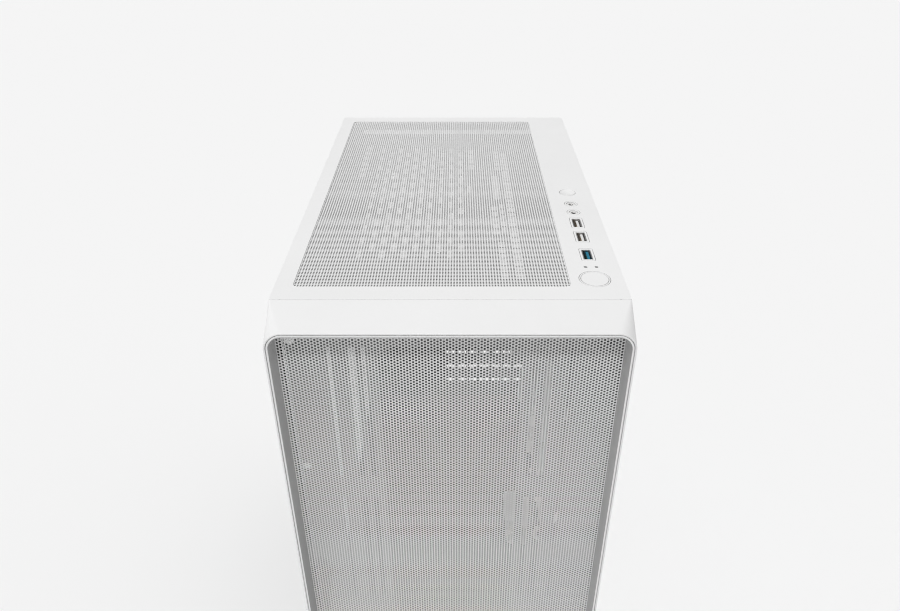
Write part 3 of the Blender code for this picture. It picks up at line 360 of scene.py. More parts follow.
coats = {
    "mouldedWhite": {"fine": 2400.0, "clouds": 9.0, "dark": grey(0.872), "light": grey(0.898),
                     "under": grey(0.93), "wear": 0.35, "wearRadius": 0.0005, "dust": 0.05,
                     "handling": 0.06, "smooth": 0.34, "rough": 0.46, "depth": 0.000012},
    "coatedSteel": {"fine": 1300.0, "clouds": 7.0, "dark": grey(0.845), "light": grey(0.872),
                    "under": grey(0.62), "wear": 0.22, "wearRadius": 0.0006, "dust": 0.06,
                    "handling": 0.05, "smooth": 0.40, "rough": 0.55, "depth": 0.000025},
    "bezelWhite": {"fine": 2400.0, "clouds": 9.0, "dark": grey(0.838), "light": grey(0.862),
                   "under": grey(0.90), "wear": 0.3, "wearRadius": 0.0005, "dust": 0.04,
                   "handling": 0.06, "smooth": 0.36, "rough": 0.48, "depth": 0.000012},
    # painted shade: the pocket wall round the front sheet is the bezel's white plastic, darkened here for the
    # shade in the recess
    "pocketWallPaintedShade": {"fine": 2400.0, "clouds": 12.0, "dark": grey(0.385), "light": grey(0.42),
                   "under": grey(0.5), "wear": 0.15, "wearRadius": 0.0004,
                   "handling": 0.05, "smooth": 0.5, "rough": 0.62, "depth": 0.000012},
    # painted shade: the bezel's white faces behind the front sheet, made near black for the shade behind the
    # sheet
    "paintedShadeBehindSheet": {"fine": 2400.0, "clouds": 12.0, "dark": grey(0.10), "light": grey(0.13),
                   "under": grey(0.5), "wear": 0.15, "wearRadius": 0.0004,
                   "handling": 0.05, "smooth": 0.5, "rough": 0.62, "depth": 0.000012},
    "topMeshCoat": {"fine": 1500.0, "clouds": 8.0, "dark": grey(0.80), "light": grey(0.84),
                    "handling": 0.03, "smooth": 0.42, "rough": 0.55, "depth": 0.00001},
    "frontMeshCoat": {"fine": 1500.0, "clouds": 8.0, "dark": grey(0.76), "light": grey(0.80),
                      "handling": 0.03, "smooth": 0.46, "rough": 0.58, "depth": 0.00001},
    # white steel, with painted shade on the faces that look into the case
    "rearSteelPaintedShadeInside": {"fine": 1300.0, "clouds": 7.0, "dark": grey(0.845), "light": grey(0.872),
                  "under": grey(0.62), "wear": 0.22, "wearRadius": 0.0006, "dust": 0.06,
                  "inside": grey(0.13), "handling": 0.05, "smooth": 0.40, "rough": 0.55, "depth": 0.000025},
    # painted shade: the chassis front is white steel, darkened here for the shade behind the front sheet
    "frontPlatePaintedShade": {"fine": 1300.0, "clouds": 8.0, "dark": grey(0.215), "light": grey(0.245),
                   "under": grey(0.34), "wear": 0.2, "wearRadius": 0.0004, "dust": 0.05,
                   "handling": 0.04, "smooth": 0.5, "rough": 0.66, "depth": 0.00002},
    # painted shade: the steel inside the case is white, darkened here for the shade inside the case
    "innerSteelPaintedShade": {"fine": 1300.0, "clouds": 8.0, "dark": grey(0.125), "light": grey(0.155),
                   "under": grey(0.26), "wear": 0.2, "wearRadius": 0.0004, "dust": 0.05,
                   "handling": 0.04, "smooth": 0.5, "rough": 0.66, "depth": 0.00002},
    "paleMoulding": {"fine": 2000.0, "clouds": 22.0, "dark": grey(0.74, 0.006), "light": grey(0.79, 0.004),
                     "under": grey(0.85), "wear": 0.2, "wearRadius": 0.0003, "dust": 0.06,
                     "handling": 0.04, "smooth": 0.35, "rough": 0.5, "depth": 0.00001},
    "darkMoulding": {"fine": 2200.0, "clouds": 25.0, "dark": grey(0.018), "light": grey(0.032),
                     "under": grey(0.12), "wear": 0.4, "wearRadius": 0.0003, "dust": 0.08,
                     "handling": 0.05, "smooth": 0.36, "rough": 0.52, "depth": 0.000012},
    "blueMoulding": {"fine": 2200.0, "clouds": 60.0, "dark": (0.003, 0.17, 0.27, 1),
                     "light": (0.005, 0.23, 0.36, 1), "under": (0.06, 0.3, 0.5, 1),
                     "wear": 0.3, "wearRadius": 0.0002,
                     "handling": 0.04, "smooth": 0.28, "rough": 0.4, "depth": 0.000008},
    "softRubber": {"fine": 1700.0, "clouds": 30.0, "dark": grey(0.27), "light": grey(0.34),
                   "under": grey(0.45), "wear": 0.5, "wearRadius": 0.0006, "dust": 0.2,
                   "handling": 0.02, "smooth": 0.74, "rough": 0.9, "depth": 0.00004},
}


def makeMetal(name, look):
    material, tree, shader = newFinish(name)
    shader.inputs["Metallic"].default_value = 1.0
    drawn = effect(tree, "lines", fine=look["fine"], stretch=look["stretch"])
    colour = blendColour(tree, drawn["Tone"], look["dark"], look["light"])
    worn = effect(tree, "wear", radius=look["wearRadius"], amount=0.4)["Mask"]
    link(tree, blendColour(tree, worn, colour, grey(0.88)), shader.inputs["Base Color"])
    touched = effect(tree, "handling", amount=look["handling"])["Change"]
    gloss = spread(tree, drawn["Lines"], 0.25, 0.75, look["smooth"], look["rough"])
    link(tree, sums(tree, "ADD", gloss, touched), shader.inputs["Roughness"])
    raised(tree, shader, drawn["Lines"], look["depth"])
    return material


metals = {
    "tinPlate": {"fine": 2200.0, "stretch": 0.03, "dark": grey(0.60, 0.01), "light": grey(0.70, 0.008),
                 "wearRadius": 0.0003, "handling": 0.08, "smooth": 0.22, "rough": 0.36, "depth": 0.000006},
    "finAluminium": {"fine": 1800.0, "stretch": 0.02, "dark": grey(0.80), "light": grey(0.88),
                     "wearRadius": 0.0004, "handling": 0.05, "smooth": 0.30, "rough": 0.46, "depth": 0.00001},
    "goldContact": {"fine": 3000.0, "stretch": 0.1, "dark": (0.80, 0.56, 0.22, 1),
                    "light": (0.9, 0.66, 0.3, 1), "wearRadius": 0.0001, "handling": 0.05,
                    "smooth": 0.18, "rough": 0.3, "depth": 0.000002},
}


def makeGlass():
    # toughened side glass, faintly green, with wipe marks
    material, tree, shader = newFinish("sideGlass")
    shader.inputs["Base Color"].default_value = (0.86, 0.88, 0.875, 1)
    shader.inputs["Transmission Weight"].default_value = 1.0
    shader.inputs["IOR"].default_value = 1.5
    link(tree, effect(tree, "handling", scale=12.0, amount=0.035)["Change"], shader.inputs["Roughness"])
    path = add(tree, "ShaderNodeLightPath")
    clear = add(tree, "ShaderNodeBsdfTransparent", {"Color": (0.50, 0.51, 0.505, 1)})
    passing = sums(tree, "MAXIMUM", path.outputs["Is Shadow Ray"], path.outputs["Is Diffuse Ray"])
    mix = add(tree, "ShaderNodeMixShader", {"Fac": passing, 1: shader.outputs[0], 2: clear.outputs[0]})
    link(tree, mix.outputs[0], tree.nodes["Material Output"].inputs["Surface"])
    return material


def makeBoard():
    # white solder mask over copper: traces show as faint raised lines, with rows of small vias
    material, tree, shader = newFinish("boardMask")
    skin = effect(tree, "grain", fine=1900.0, clouds=18.0)
    where = add(tree, "ShaderNodeTexCoord").outputs["Object"]
    swap = add(tree, "ShaderNodeSeparateXYZ", {0: where})
    flat = add(tree, "ShaderNodeCombineXYZ", {0: swap.outputs["Y"], 1: swap.outputs["Z"]}).outputs[0]
    runs = add(tree, "ShaderNodeTexBrick", {"Vector": flat, "Color1": grey(0.0), "Color2": grey(0.0),
                                            "Mortar": grey(1.0), "Scale": 1.0, "Mortar Size": 0.00022,
                                            "Brick Width": 0.021, "Row Height": 0.0016}, offset=0.37)
    vias = add(tree, "ShaderNodeTexVoronoi", {"Vector": flat, "Scale": 170.0, "Randomness": 0.85})
    dots = spread(tree, vias.outputs["Distance"], 0.09, 0.07)
    base = blendColour(tree, skin["Cloud"], grey(0.74), grey(0.79))
    traced = blendColour(tree, sums(tree, "MULTIPLY", runs.outputs["Fac"], 0.35), base, grey(0.62))
    dotted = blendColour(tree, sums(tree, "MULTIPLY", dots, 0.6), traced, (0.66, 0.58, 0.42, 1))
    link(tree, dotted, shader.inputs["Base Color"])
    link(tree, spread(tree, skin["Height"], 0.2, 0.8, 0.36, 0.5), shader.inputs["Roughness"])
    faint = sums(tree, "MULTIPLY", skin["Height"], 0.2)
    raised(tree, shader, sums(tree, "ADD", runs.outputs["Fac"], faint), 0.00003)
    return material


def makeSleeve():
    # braided cable sleeve: two sets of strands crossing on the slant
    material, tree, shader = newFinish("braidedSleeve")
    where = add(tree, "ShaderNodeTexCoord").outputs["Object"]
    strands = []
    for lean in (0.8, -0.8):
        tilt = add(tree, "ShaderNodeMapping", {"Vector": where, "Rotation": (lean, lean * 0.6, lean)})
        strands.append(add(tree, "ShaderNodeTexWave", {"Vector": tilt.outputs[0], "Scale": 190.0,
                                                       "Distortion": 0.4}).outputs["Fac"])
    weave = sums(tree, "MAXIMUM", *strands)
    skin = effect(tree, "grain", fine=2500.0, clouds=26.0)
    tone = blendColour(tree, skin["Cloud"], grey(0.68), grey(0.76))
    link(tree, blendColour(tree, weave, grey(0.52), tone), shader.inputs["Base Color"])
    link(tree, spread(tree, weave, 0.0, 1.0, 0.85, 0.6), shader.inputs["Roughness"])
    raised(tree, shader, weave, 0.00025)
    return material


def makeGlow():
    # a light pipe's end: milky, clear below its skin
    material, tree, shader = newFinish("lightPipe")
    skin = effect(tree, "grain", fine=1500.0, clouds=200.0)
    link(tree, blendColour(tree, skin["Cloud"], grey(0.24), grey(0.34)), shader.inputs["Base Color"])
    link(tree, spread(tree, skin["Height"], 0.2, 0.8, 0.12, 0.24), shader.inputs["Roughness"])
    raised(tree, shader, skin["Height"], 0.000006)
    return material


finishes = {name: makeCoat(name, look) for name, look in coats.items()}
finishes.update({name: makeMetal(name, look) for name, look in metals.items()})
finishes.update(sideGlass=makeGlass(), boardMask=makeBoard())
finishes.update(braidedSleeve=makeSleeve(), lightPipe=makeGlow())
print("finishes mixed:", len(finishes))


# mesh helpers

def standFor(piece, slotName, *nodes, body=None):
    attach(piece, body or frame["nodes"][nodes[0]]["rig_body"])
    if nodes:
        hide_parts(*nodes)
    return piece


def asObject(name, mesh, *materials):
    for material in materials:
        mesh.materials.append(finishes[material])
    piece = bpy.data.objects.new(name, mesh)
    scene.collection.objects.link(piece)
    return piece


def fromBmesh(name, bm, *materials, smooth=None):
    mesh = bpy.data.meshes.new(name)
    bm.normal_update()
    bm.to_mesh(mesh)
    bm.free()
    if smooth is not None:
        mesh.shade_smooth()
        mesh.set_sharp_from_angle(angle=math.radians(smooth))
    return asObject(name, mesh, *materials)


def roundedLoop(halfWidth, low, high, radius, steps=10):
    points = []
    corners = ((halfWidth - radius, high - radius, 0), (-halfWidth + radius, high - radius, 90),
               (-halfWidth + radius, low + radius, 180), (halfWidth - radius, low + radius, 270))
    for x, z, start in corners:
        for i in range(steps + 1):
            angle = math.radians(start + 90 * i / steps)
            points.append((x + radius * math.cos(angle), z + radius * math.sin(angle)))
    return points


def makeSmoother():
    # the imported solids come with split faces, so this gives them smooth round sides and crisp edges
    tree = bpy.data.node_groups.new("smoothRounds", "GeometryNodeTree")
    tree.interface.new_socket("Geometry", in_out="INPUT", socket_type="NodeSocketGeometry")
    tree.interface.new_socket("Geometry", in_out="OUTPUT", socket_type="NodeSocketGeometry")
    start = tree.nodes.new("NodeGroupInput")
    end = tree.nodes.new("NodeGroupOutput")
    bare = add(tree, "GeometryNodeRemoveAttribute", {"Geometry": start.outputs[0], "Name": "custom_normal"})
    faces = add(tree, "GeometryNodeSetShadeSmooth", {"Geometry": bare.outputs[0], "Shade Smooth": True})
    angle = add(tree, "GeometryNodeInputMeshEdgeAngle")
    sharp = add(tree, "FunctionNodeCompare", {0: angle.outputs[0], 1: math.radians(33)},
                operation="GREATER_THAN")
    edges = add(tree, "GeometryNodeSetShadeSmooth", {"Geometry": faces.outputs[0],
                                                     "Selection": sharp.outputs[0], "Shade Smooth": False},
                domain="EDGE")
    tree.links.new(edges.outputs[0], end.inputs[0])
    return tree


smoother = makeSmoother()


def soften(piece, edge, segments=2):
    bevel = piece.modifiers.new("softEdges", "BEVEL")
    bevel.width = edge
    bevel.segments = segments
    bevel.limit_method = "ANGLE"
    bevel.angle_limit = math.radians(38)
    bevel.use_clamp_overlap = False
    bevel.harden_normals = True


def fromBoxes(name, finish, spans, edge=0.0):
    bm = bmesh.new()
    for low, high in spans:
        low, high = Vector(low), Vector(high)
        bmesh.ops.create_cube(bm, size=1.0, matrix=Matrix.LocRotScale((low + high) / 2, None, high - low))
    piece = fromBmesh(name, bm, finish)
    if edge:
        soften(piece, edge)
    return piece


def turned(name, finish, centre, profile, direction=(0, 0, 1), steps=40, ripple=(0, 0.0, ())):
    # a closed outline of (radius, height) spun round an axis; ripple knurls the listed rings
    teeth, depth, rippled = ripple
    turn = Vector(direction).to_track_quat("Z", "X").to_matrix()
    bm = bmesh.new()
    rings = []
    for index, (radius, height) in enumerate(profile):
        ring = []
        for i in range(steps if radius else 1):
            angle = math.tau * i / steps
            reach = radius - (depth if index in rippled and (i * teeth * 2 // steps) % 2 else 0.0)
            spot = turn @ Vector((reach * math.cos(angle), reach * math.sin(angle), height))
            ring.append(bm.verts.new(Vector(centre) + spot))
        rings.append(ring)
    closed = profile[0][0] > 0
    for ahead, after in zip(rings, rings[1:] + (rings[:1] if closed else [])):
        for i in range(steps):
            j = (i + 1) % steps
            corners = [ahead[i % len(ahead)], ahead[j % len(ahead)],
                       after[j % len(after)], after[i % len(after)]]
            bm.faces.new(list(dict.fromkeys(corners)))
    bmesh.ops.recalc_face_normals(bm, faces=bm.faces)
    return fromBmesh(name, bm, finish, smooth=32)


def dress(node, finish, edge=0.0, segments=2):
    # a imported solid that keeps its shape: finish, softened edges, smooth rounds
    piece = frame["nodes"][node]
    if not piece.material_slots:
        piece.data.materials.append(None)
    for place in piece.material_slots:
        place.material = finishes[finish]
    weld = piece.modifiers.new("joinFaces", "WELD")
    weld.merge_threshold = 0.000002
    rounds = piece.modifiers.new("smoothRounds", "NODES")
    rounds.node_group = smoother
    if edge:
        soften(piece, edge, segments)
    return piece


# perforated sheets

def perforatedMesh(name, centres, corners, hole, thickness, place):
    # every cell is a ring of corners round a hole, with a front, a back and the hole's wall
    count, inner = len(corners), len(hole)
    ring = np.array(list(corners) + list(hole))
    flat = (centres[:, None, :] + ring[None, :, :]).reshape(-1, 2)
    size = count + inner
    share = inner // count
    template = []
    for i in range(count):
        j = (i + 1) % count
        bend = [count + (share * (i + 1) - k) % inner for k in range(share + 1)]
        template.append([i, j] + bend)
    walls = [[count + i, count + (i + 1) % inner] for i in range(inner)]
    keys = np.round(flat * 1e7).astype(np.int64)
    _, first, index = np.unique(keys, axis=0, return_index=True, return_inverse=True)
    index = index.reshape(-1, size)
    points = flat[first]
    total = len(points)
    front = index[:, np.array(template)]
    faces = front.reshape(-1, share + 3)
    backs = faces[:, ::-1] + total
    wall = index[:, np.array(walls)].reshape(-1, 2)
    sides = np.stack([wall[:, 1], wall[:, 0], wall[:, 0] + total, wall[:, 1] + total], axis=1)
    spots = np.concatenate([place(points, 0.0), place(points, thickness)])
    mesh = bpy.data.meshes.new(name)
    mesh.from_pydata(spots.tolist(), [], faces.tolist() + backs.tolist() + sides.tolist())
    mesh.update()
    return mesh


def ringOf(count, radius, start):
    return [(radius * math.cos(math.radians(start) + math.tau * i / count),
             radius * math.sin(math.radians(start) + math.tau * i / count)) for i in range(count)]


def insideRounded(points, halfWidth, low, high, radius):
    # how far points (x, z) are inside a rounded rectangle, negative outside
    centre = (low + high) / 2
    across = np.abs(points[:, 0]) - (halfWidth - radius)
    along = np.abs(points[:, 1] - centre) - ((high - low) / 2 - radius)
    corner = np.hypot(np.maximum(across, 0), np.maximum(along, 0))
    return radius - corner - np.minimum(np.maximum(across, along), 0)


frontSheet = {
    "pitch": 0.00213,            # down a column of holes
    "hole": 0.00080,             # radius
    "sides": 6,
    "thickness": 0.00030,
    "cornerRadius": 0.0075,
    "tuck": 0.0035,              # how far the pattern runs in behind the bezel's wall
    "plainTop": 0.01465,         # from the bezel's top down to the first holes
    "tiles": 4,
}


def makeFrontSheet():
    low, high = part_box("front_mesh")
    pitch = frontSheet["pitch"]
    column = pitch * math.sqrt(3) / 2
    halfColumns = int(high.x / column) + 2
    rows = int((high.z - low.z) / pitch) + 3
    grid = np.array([(i * column, low.z + (j + 0.5 * (i % 2)) * pitch)
                     for i in range(-halfColumns, halfColumns + 1) for j in range(-1, rows)])
    inside = insideRounded(grid, high.x, low.z, high.z, frontSheet["cornerRadius"])
    kept = grid[inside > -frontSheet["tuck"]]
    kept = kept[kept[:, 1] < bezelHigh.z - frontSheet["plainTop"] - frontSheet["hole"]]
    plain = ((-high.x, low.y + 0.00005, kept[:, 1].max()), (high.x, low.y + frontSheet["thickness"], high.z))
    standFor(fromBoxes("frontMeshBorder", "frontMeshCoat", [plain]), "white_steel", "front_mesh")
    corners = ringOf(6, pitch / math.sqrt(3), 0)
    hole = ringOf(frontSheet["sides"], frontSheet["hole"], 0)
    edges = np.linspace(kept[:, 1].min() - pitch, kept[:, 1].max() + pitch, frontSheet["tiles"] + 1)

    def upright(points, depth):
        return np.stack([points[:, 0], np.full(len(points), low.y + depth), points[:, 1]], axis=1)

    for tile in range(frontSheet["tiles"]):
        part = kept[(kept[:, 1] >= edges[tile]) & (kept[:, 1] < edges[tile + 1])]
        mesh = perforatedMesh(f"frontMesh{tile + 1}", part, corners, hole, frontSheet["thickness"], upright)
        standFor(asObject(f"frontMesh{tile + 1}", mesh, "frontMeshCoat"), "white_steel", "front_mesh")
    return len(kept)


def lyingAt(height):
    # puts the points of a flat sheet at a height, its depth downwards
    return lambda points, depth: np.stack([points[:, 0], points[:, 1], np.full(len(points), height - depth)],
                                          axis=1)


topSheet = {
    "pitch": 0.0018,
    "hole": 0.00064,
    "thickness": 0.00026,
    "border": 0.0031,            # plain margin under the panel's edge
    "cornerRadius": 0.0036,
    "cornerGap": 0.0003,         # holes nearer than this to the rounded corner are left out
    "sunk": 0.0007,              # how far the raised field lies under the top surface
    "tiles": 4,
}


def makeTopSheet():
    low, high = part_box("top_mesh")
    pitch = topSheet["pitch"]
    centre = (low + high) / 2
    field = topHigh.z - topSheet["sunk"]
    reach = (high.x - centre.x - topSheet["border"], high.y - centre.y - topSheet["border"])
    across, deep = round(2 * reach[0] / pitch), round(2 * reach[1] / pitch)
    stepX, stepY = 2 * reach[0] / across, 2 * reach[1] / deep
    grid = np.array([(centre.x + (i - (across - 1) / 2) * stepX, centre.y + (j - (deep - 1) / 2) * stepY)
                     for i in range(across) for j in range(deep)])
    offset = grid - np.array([[centre.x, 0.0]])
    inside = insideRounded(offset, reach[0], centre.y - reach[1], centre.y + reach[1],
                           topSheet["cornerRadius"])
    grid = grid[inside > topSheet["cornerGap"]]
    corners = [(stepX * x / 2, stepY * y / 2) for x, y in ((1, 1), (-1, 1), (-1, -1), (1, -1))]
    hole = ringOf(8, topSheet["hole"], 45)
    edges = np.linspace(low.y, high.y, topSheet["tiles"] + 1)
    for tile in range(topSheet["tiles"]):
        part = grid[(grid[:, 1] >= edges[tile]) & (grid[:, 1] < edges[tile + 1])]
        mesh = perforatedMesh(f"topMesh{tile + 1}", part, corners, hole, topSheet["thickness"],
                              lyingAt(field))
        standFor(asObject(f"topMesh{tile + 1}", mesh, "topMeshCoat"), "white_steel", "top_mesh")
    bm = bmesh.new()
    rim = []
    for halfX, halfY in (reach, ((high.x - low.x) / 2, (high.y - low.y) / 2)):
        rim.append([bm.verts.new((centre.x + x * halfX, centre.y + y * halfY, high.z))
                    for x, y in ((-1, -1), (1, -1), (1, 1), (-1, 1))])
    for i in range(4):
        j = (i + 1) % 4
        bm.faces.new((rim[1][i], rim[1][j], rim[0][j], rim[0][i]))
    grown = bmesh.ops.extrude_face_region(bm, geom=bm.faces[:])["geom"]
    bmesh.ops.translate(bm, verts=[v for v in grown if isinstance(v, bmesh.types.BMVert)],
                        vec=(0, 0, -topSheet["thickness"]))
    bmesh.ops.recalc_face_normals(bm, faces=bm.faces)
    standFor(fromBmesh("topMeshBorder", bm, "topMeshCoat"), "white_steel", "top_mesh")
    return len(grid)


print("front sheet holes:", makeFrontSheet())
print("top sheet holes:", makeTopSheet())


# front bezel

bezel = {
    "lipDrop": 0.00655,          # lip under the top surface
    "cornerRadius": 0.0118,
    "strip": 0.0011,             # flat outer strip of the lip
    "groove": 0.0005,
    "grooveDepth": 0.0016,
    "rim": 0.0011,
    "edge": 0.00045,
    "meshDepth": 0.009,
    "wallTaper": 0.0023,
    "flange": 0.0051,            # inset of the flange behind the sheet
    "flangeFrom": 0.0011,        # how far its front and back lie behind the sheet's front
    "flangeTo": 0.0031,
    "shellWall": 0.0028,
    "seamGap": 0.00030,
    "notch": 0.1010,             # the seam's two small marks, from the middle
}


def makeBezel():
    frontY, seamY = bezelLow.y, topLow.y - bezel["seamGap"]
    halfWidth, high, low = bezelHigh.x, bezelHigh.z, bezelLow.z
    drop, radius, edge = bezel["lipDrop"], bezel["cornerRadius"], bezel["edge"]

    def lipRing(y, inset):
        return [(x, y, z) for x, z in roundedLoop(halfWidth - inset, low + drop + inset, high - drop - inset,
                                                 max(radius - inset, 0.004), 14)]

    def seamRing(y, inset, corner):
        return [(x, y, z) for x, z in roundedLoop(halfWidth - inset, low + inset, high - inset, corner, 14)]

    def quarter(y, inset, turnIn):
        # a rounded edge, from the side face onto the front face, or back again
        steps = [math.radians(30 * i) for i in range(4)]
        if turnIn:
            return [(y + edge * (1 - math.sin(a)), inset + edge * (1 - math.cos(a))) for a in steps]
        return [(y + edge * (1 - math.cos(a)), inset + edge * (math.sin(a) - 1)) for a in steps]

    outer = bezel["strip"]
    inner = outer + bezel["groove"]
    brim = inner + bezel["rim"]
    seat = brim + bezel["wallTaper"]
    path = quarter(frontY, 0.0, True)
    path += [(frontY, outer - 0.00015), (frontY + 0.00015, outer), (frontY + bezel["grooveDepth"], outer)]
    path += [(frontY + bezel["grooveDepth"], inner), (frontY + 0.0003, inner),
             (frontY + 0.00008, inner + 0.00022)]
    path += [(frontY + 0.00008, brim - 0.0003), (frontY + 0.00035, brim)]
    wallStart = len(path) + 1
    meshY = frontY + bezel["meshDepth"]
    path += [(meshY - 0.0001, seat), (meshY + bezel["flangeFrom"], seat)]
    rings = [seamRing(seamY, 0.00015, 0.0008), seamRing(seamY - 0.00015, 0.0, 0.0008)]
    rings += [lipRing(y, inset) for y, inset in path]
    opening = lipRing(meshY + bezel["flangeFrom"], bezel["flange"])
    flange = lipRing(meshY + bezel["flangeTo"], bezel["flange"])
    behind = lipRing(meshY + bezel["flangeTo"], bezel["shellWall"])
    rings += [opening, flange, behind, seamRing(seamY, 0.0025, 0.0022)]
    bm = bmesh.new()
    loops = [[bm.verts.new(point) for point in ring] for ring in rings]
    for place, (ahead, after) in enumerate(zip(loops, loops[1:] + loops[:1])):
        # the pocket wall gets a grey finish and the faces behind the sheet a near black one: painted shade in
        # the recess and behind the sheet
        hidden = wallStart < place < len(loops) - 1
        for i in range(len(ahead)):
            j = (i + 1) % len(ahead)
            face = bm.faces.new((ahead[i], ahead[j], after[j], after[i]))
            face.material_index = 2 if hidden else int(place == wallStart)
    bmesh.ops.recalc_face_normals(bm, faces=bm.faces)
    shell = fromBmesh("bezelShell", bm, "bezelWhite", "pocketWallPaintedShade", "paintedShadeBehindSheet", smooth=24)
    return standFor(shell, "white_plastic", "front_bezel")


def makeSeamClips():
    # the small dark ends of the clips that hold the bezel, flush in the seam
    seam, top = topLow.y, topHigh.z
    spans = [((x - 0.0006, seam - 0.0004, top - 0.0010), (x + 0.0006, seam + 0.0001, top - 0.00015))
             for x in (-bezel["notch"], bezel["notch"])]
    clips = fromBoxes("seamClips", "darkMoulding", spans)
    standFor(clips, "dark_plastic", body=frame["nodes"]["front_bezel"]["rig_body"])


makeBezel()
makeSeamClips()
print("bezel made")


# port strip

ports = {
    "shellWall": 0.0003,
    "tongueFrom": -0.0002,       # the tongue's faces, from the socket's middle
    "tongueTo": 0.0016,
    "tongueHalf": 0.0055,
    "tongueSunk": 0.0007,
    "raise": 0.0004,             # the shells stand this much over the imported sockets
    "contactPitch": 0.0022,
    "dish": 0.0010,              # depth of the reset button's hollow
}


def makeSocket(node, tongueFinish, tongueSlot):
    low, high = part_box(node)
    centre = (low + high) / 2
    high.z += ports["raise"]
    wall = ports["shellWall"]
    floor = low.z + 0.0020
    shell = [((low.x, low.y, low.z), (low.x + wall, high.y, high.z)),
             ((high.x - wall, low.y, low.z), (high.x, high.y, high.z)),
             ((low.x + wall, low.y, low.z), (high.x - wall, low.y + wall, high.z)),
             ((low.x + wall, high.y - wall, low.z), (high.x - wall, high.y, high.z))]
    for side, inward in ((low.x + wall, 1), (high.x - wall, -1)):
        for y in (-0.0030, 0.0030):
            reach = side + inward * 0.00035
            shell.append(((min(side, reach), centre.y + y - 0.0010, high.z - 0.0070),
                          (max(side, reach), centre.y + y + 0.0010, high.z - 0.0028)))
    standFor(fromBoxes(f"{node}Shell", "tinPlate", shell, 0.00008), "bare_metal", node)
    seat = [((low.x + wall, low.y + wall, low.z + 0.0002), (high.x - wall, high.y - wall, floor))]
    standFor(fromBoxes(f"{node}Seat", "darkMoulding", seat), "dark_plastic", node)
    near, far = centre.x + ports["tongueFrom"], centre.x + ports["tongueTo"]
    top = high.z - ports["tongueSunk"]
    tongue = [((near, centre.y - ports["tongueHalf"], floor), (far, centre.y + ports["tongueHalf"], top))]
    standFor(fromBoxes(f"{node}Tongue", tongueFinish, tongue, 0.00025), tongueSlot, node)
    contacts = []
    for i in range(4):
        y = centre.y + (i - 1.5) * ports["contactPitch"]
        contacts.append(((near - 0.00015, y - 0.0005, floor), (near + 0.0001, y + 0.0005, top - 0.0006)))
    standFor(fromBoxes(f"{node}Contacts", "goldContact", contacts), "bare_metal", node)


def makeJackSleeve(node):
    low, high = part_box(node)
    centre = (low + high) / 2
    profile = [(0.00178, high.z - 0.0062), (0.00178, high.z - 0.0004), (0.00165, high.z - 0.0003),
               (0.00115, high.z - 0.0006), (0.00115, high.z - 0.0062)]
    sleeve = turned(f"{node}Sleeve", "tinPlate", (centre.x, centre.y, 0), profile, steps=28)
    standFor(sleeve, "bare_metal", body=frame["nodes"][node]["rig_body"])


def makeResetDish():
    low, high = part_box("reset_button")
    carrierLow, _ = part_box("port_carrier")
    centre = (low + high) / 2
    rim = (high.x - low.x) / 2 - 0.0008
    shoulder = carrierLow.z - 0.0003
    hollow = [(rim * share, high.z - ports["dish"] * (1 - share ** 2)) for share in
              (0.0, 0.15, 0.3, 0.45, 0.6, 0.75, 0.88, 0.96)]
    sides = [(rim - 0.0001, high.z), (rim, high.z - 0.00015), (rim, shoulder), (rim + 0.0008, shoulder),
             (rim + 0.0008, shoulder - 0.001), (0.0025, shoulder - 0.001), (0.0025, low.z), (0.0, low.z)]
    dish = turned("resetDish", "bezelWhite", (centre.x, centre.y, 0), hollow + sides)
    standFor(dish, "white_plastic", "reset_button")


makeSocket("usb3_socket", "blueMoulding", "blue_plastic")
makeSocket("usb2_front_socket", "paleMoulding", "pale_plastic")
makeSocket("usb2_rear_socket", "paleMoulding", "pale_plastic")
makeJackSleeve("headphone_jack")
makeJackSleeve("microphone_jack")
makeResetDish()
print("port strip made")


# pressed louvres on the chassis top

roofMarks = {
    "columns": 10,
    "fieldFrom": -0.0650,        # left and right columns of the field
    "fieldTo": 0.0065,
    "near": 0.080,               # behind the seam
    "far": 0.308,
    "width": 0.0034,
    "length": 0.0115,
    "pitch": 0.0207,
    "height": 0.0007,
    "rows": (                    # x, near, far, pitch, half length, half width, shift
        (-0.0790, 0.228, 0.308, 0.0135, 0.0042, 0.0026, 0.0),
        (0.0172, 0.248, 0.296, 0.0125, 0.0045, 0.0022, 0.0),
        (0.0142, 0.196, 0.209, 0.0200, 0.0055, 0.0016, 0.0),
        (0.0398, 0.244, 0.292, 0.0100, 0.0036, 0.0026, 0.0),
        (0.0362, 0.180, 0.230, 0.1000, 0.0250, 0.0026, 0.0),
        (0.0333, 0.117, 0.172, 0.0105, 0.0036, 0.0024, 0.0),
        (0.0390, 0.117, 0.172, 0.0105, 0.0036, 0.0018, 0.004),
        (0.0360, 0.051, 0.108, 0.0092, 0.0036, 0.0026, 0.0),
        (0.0463, 0.051, 0.294, 0.0088, 0.0033, 0.0028, 0.0),
    ),
}


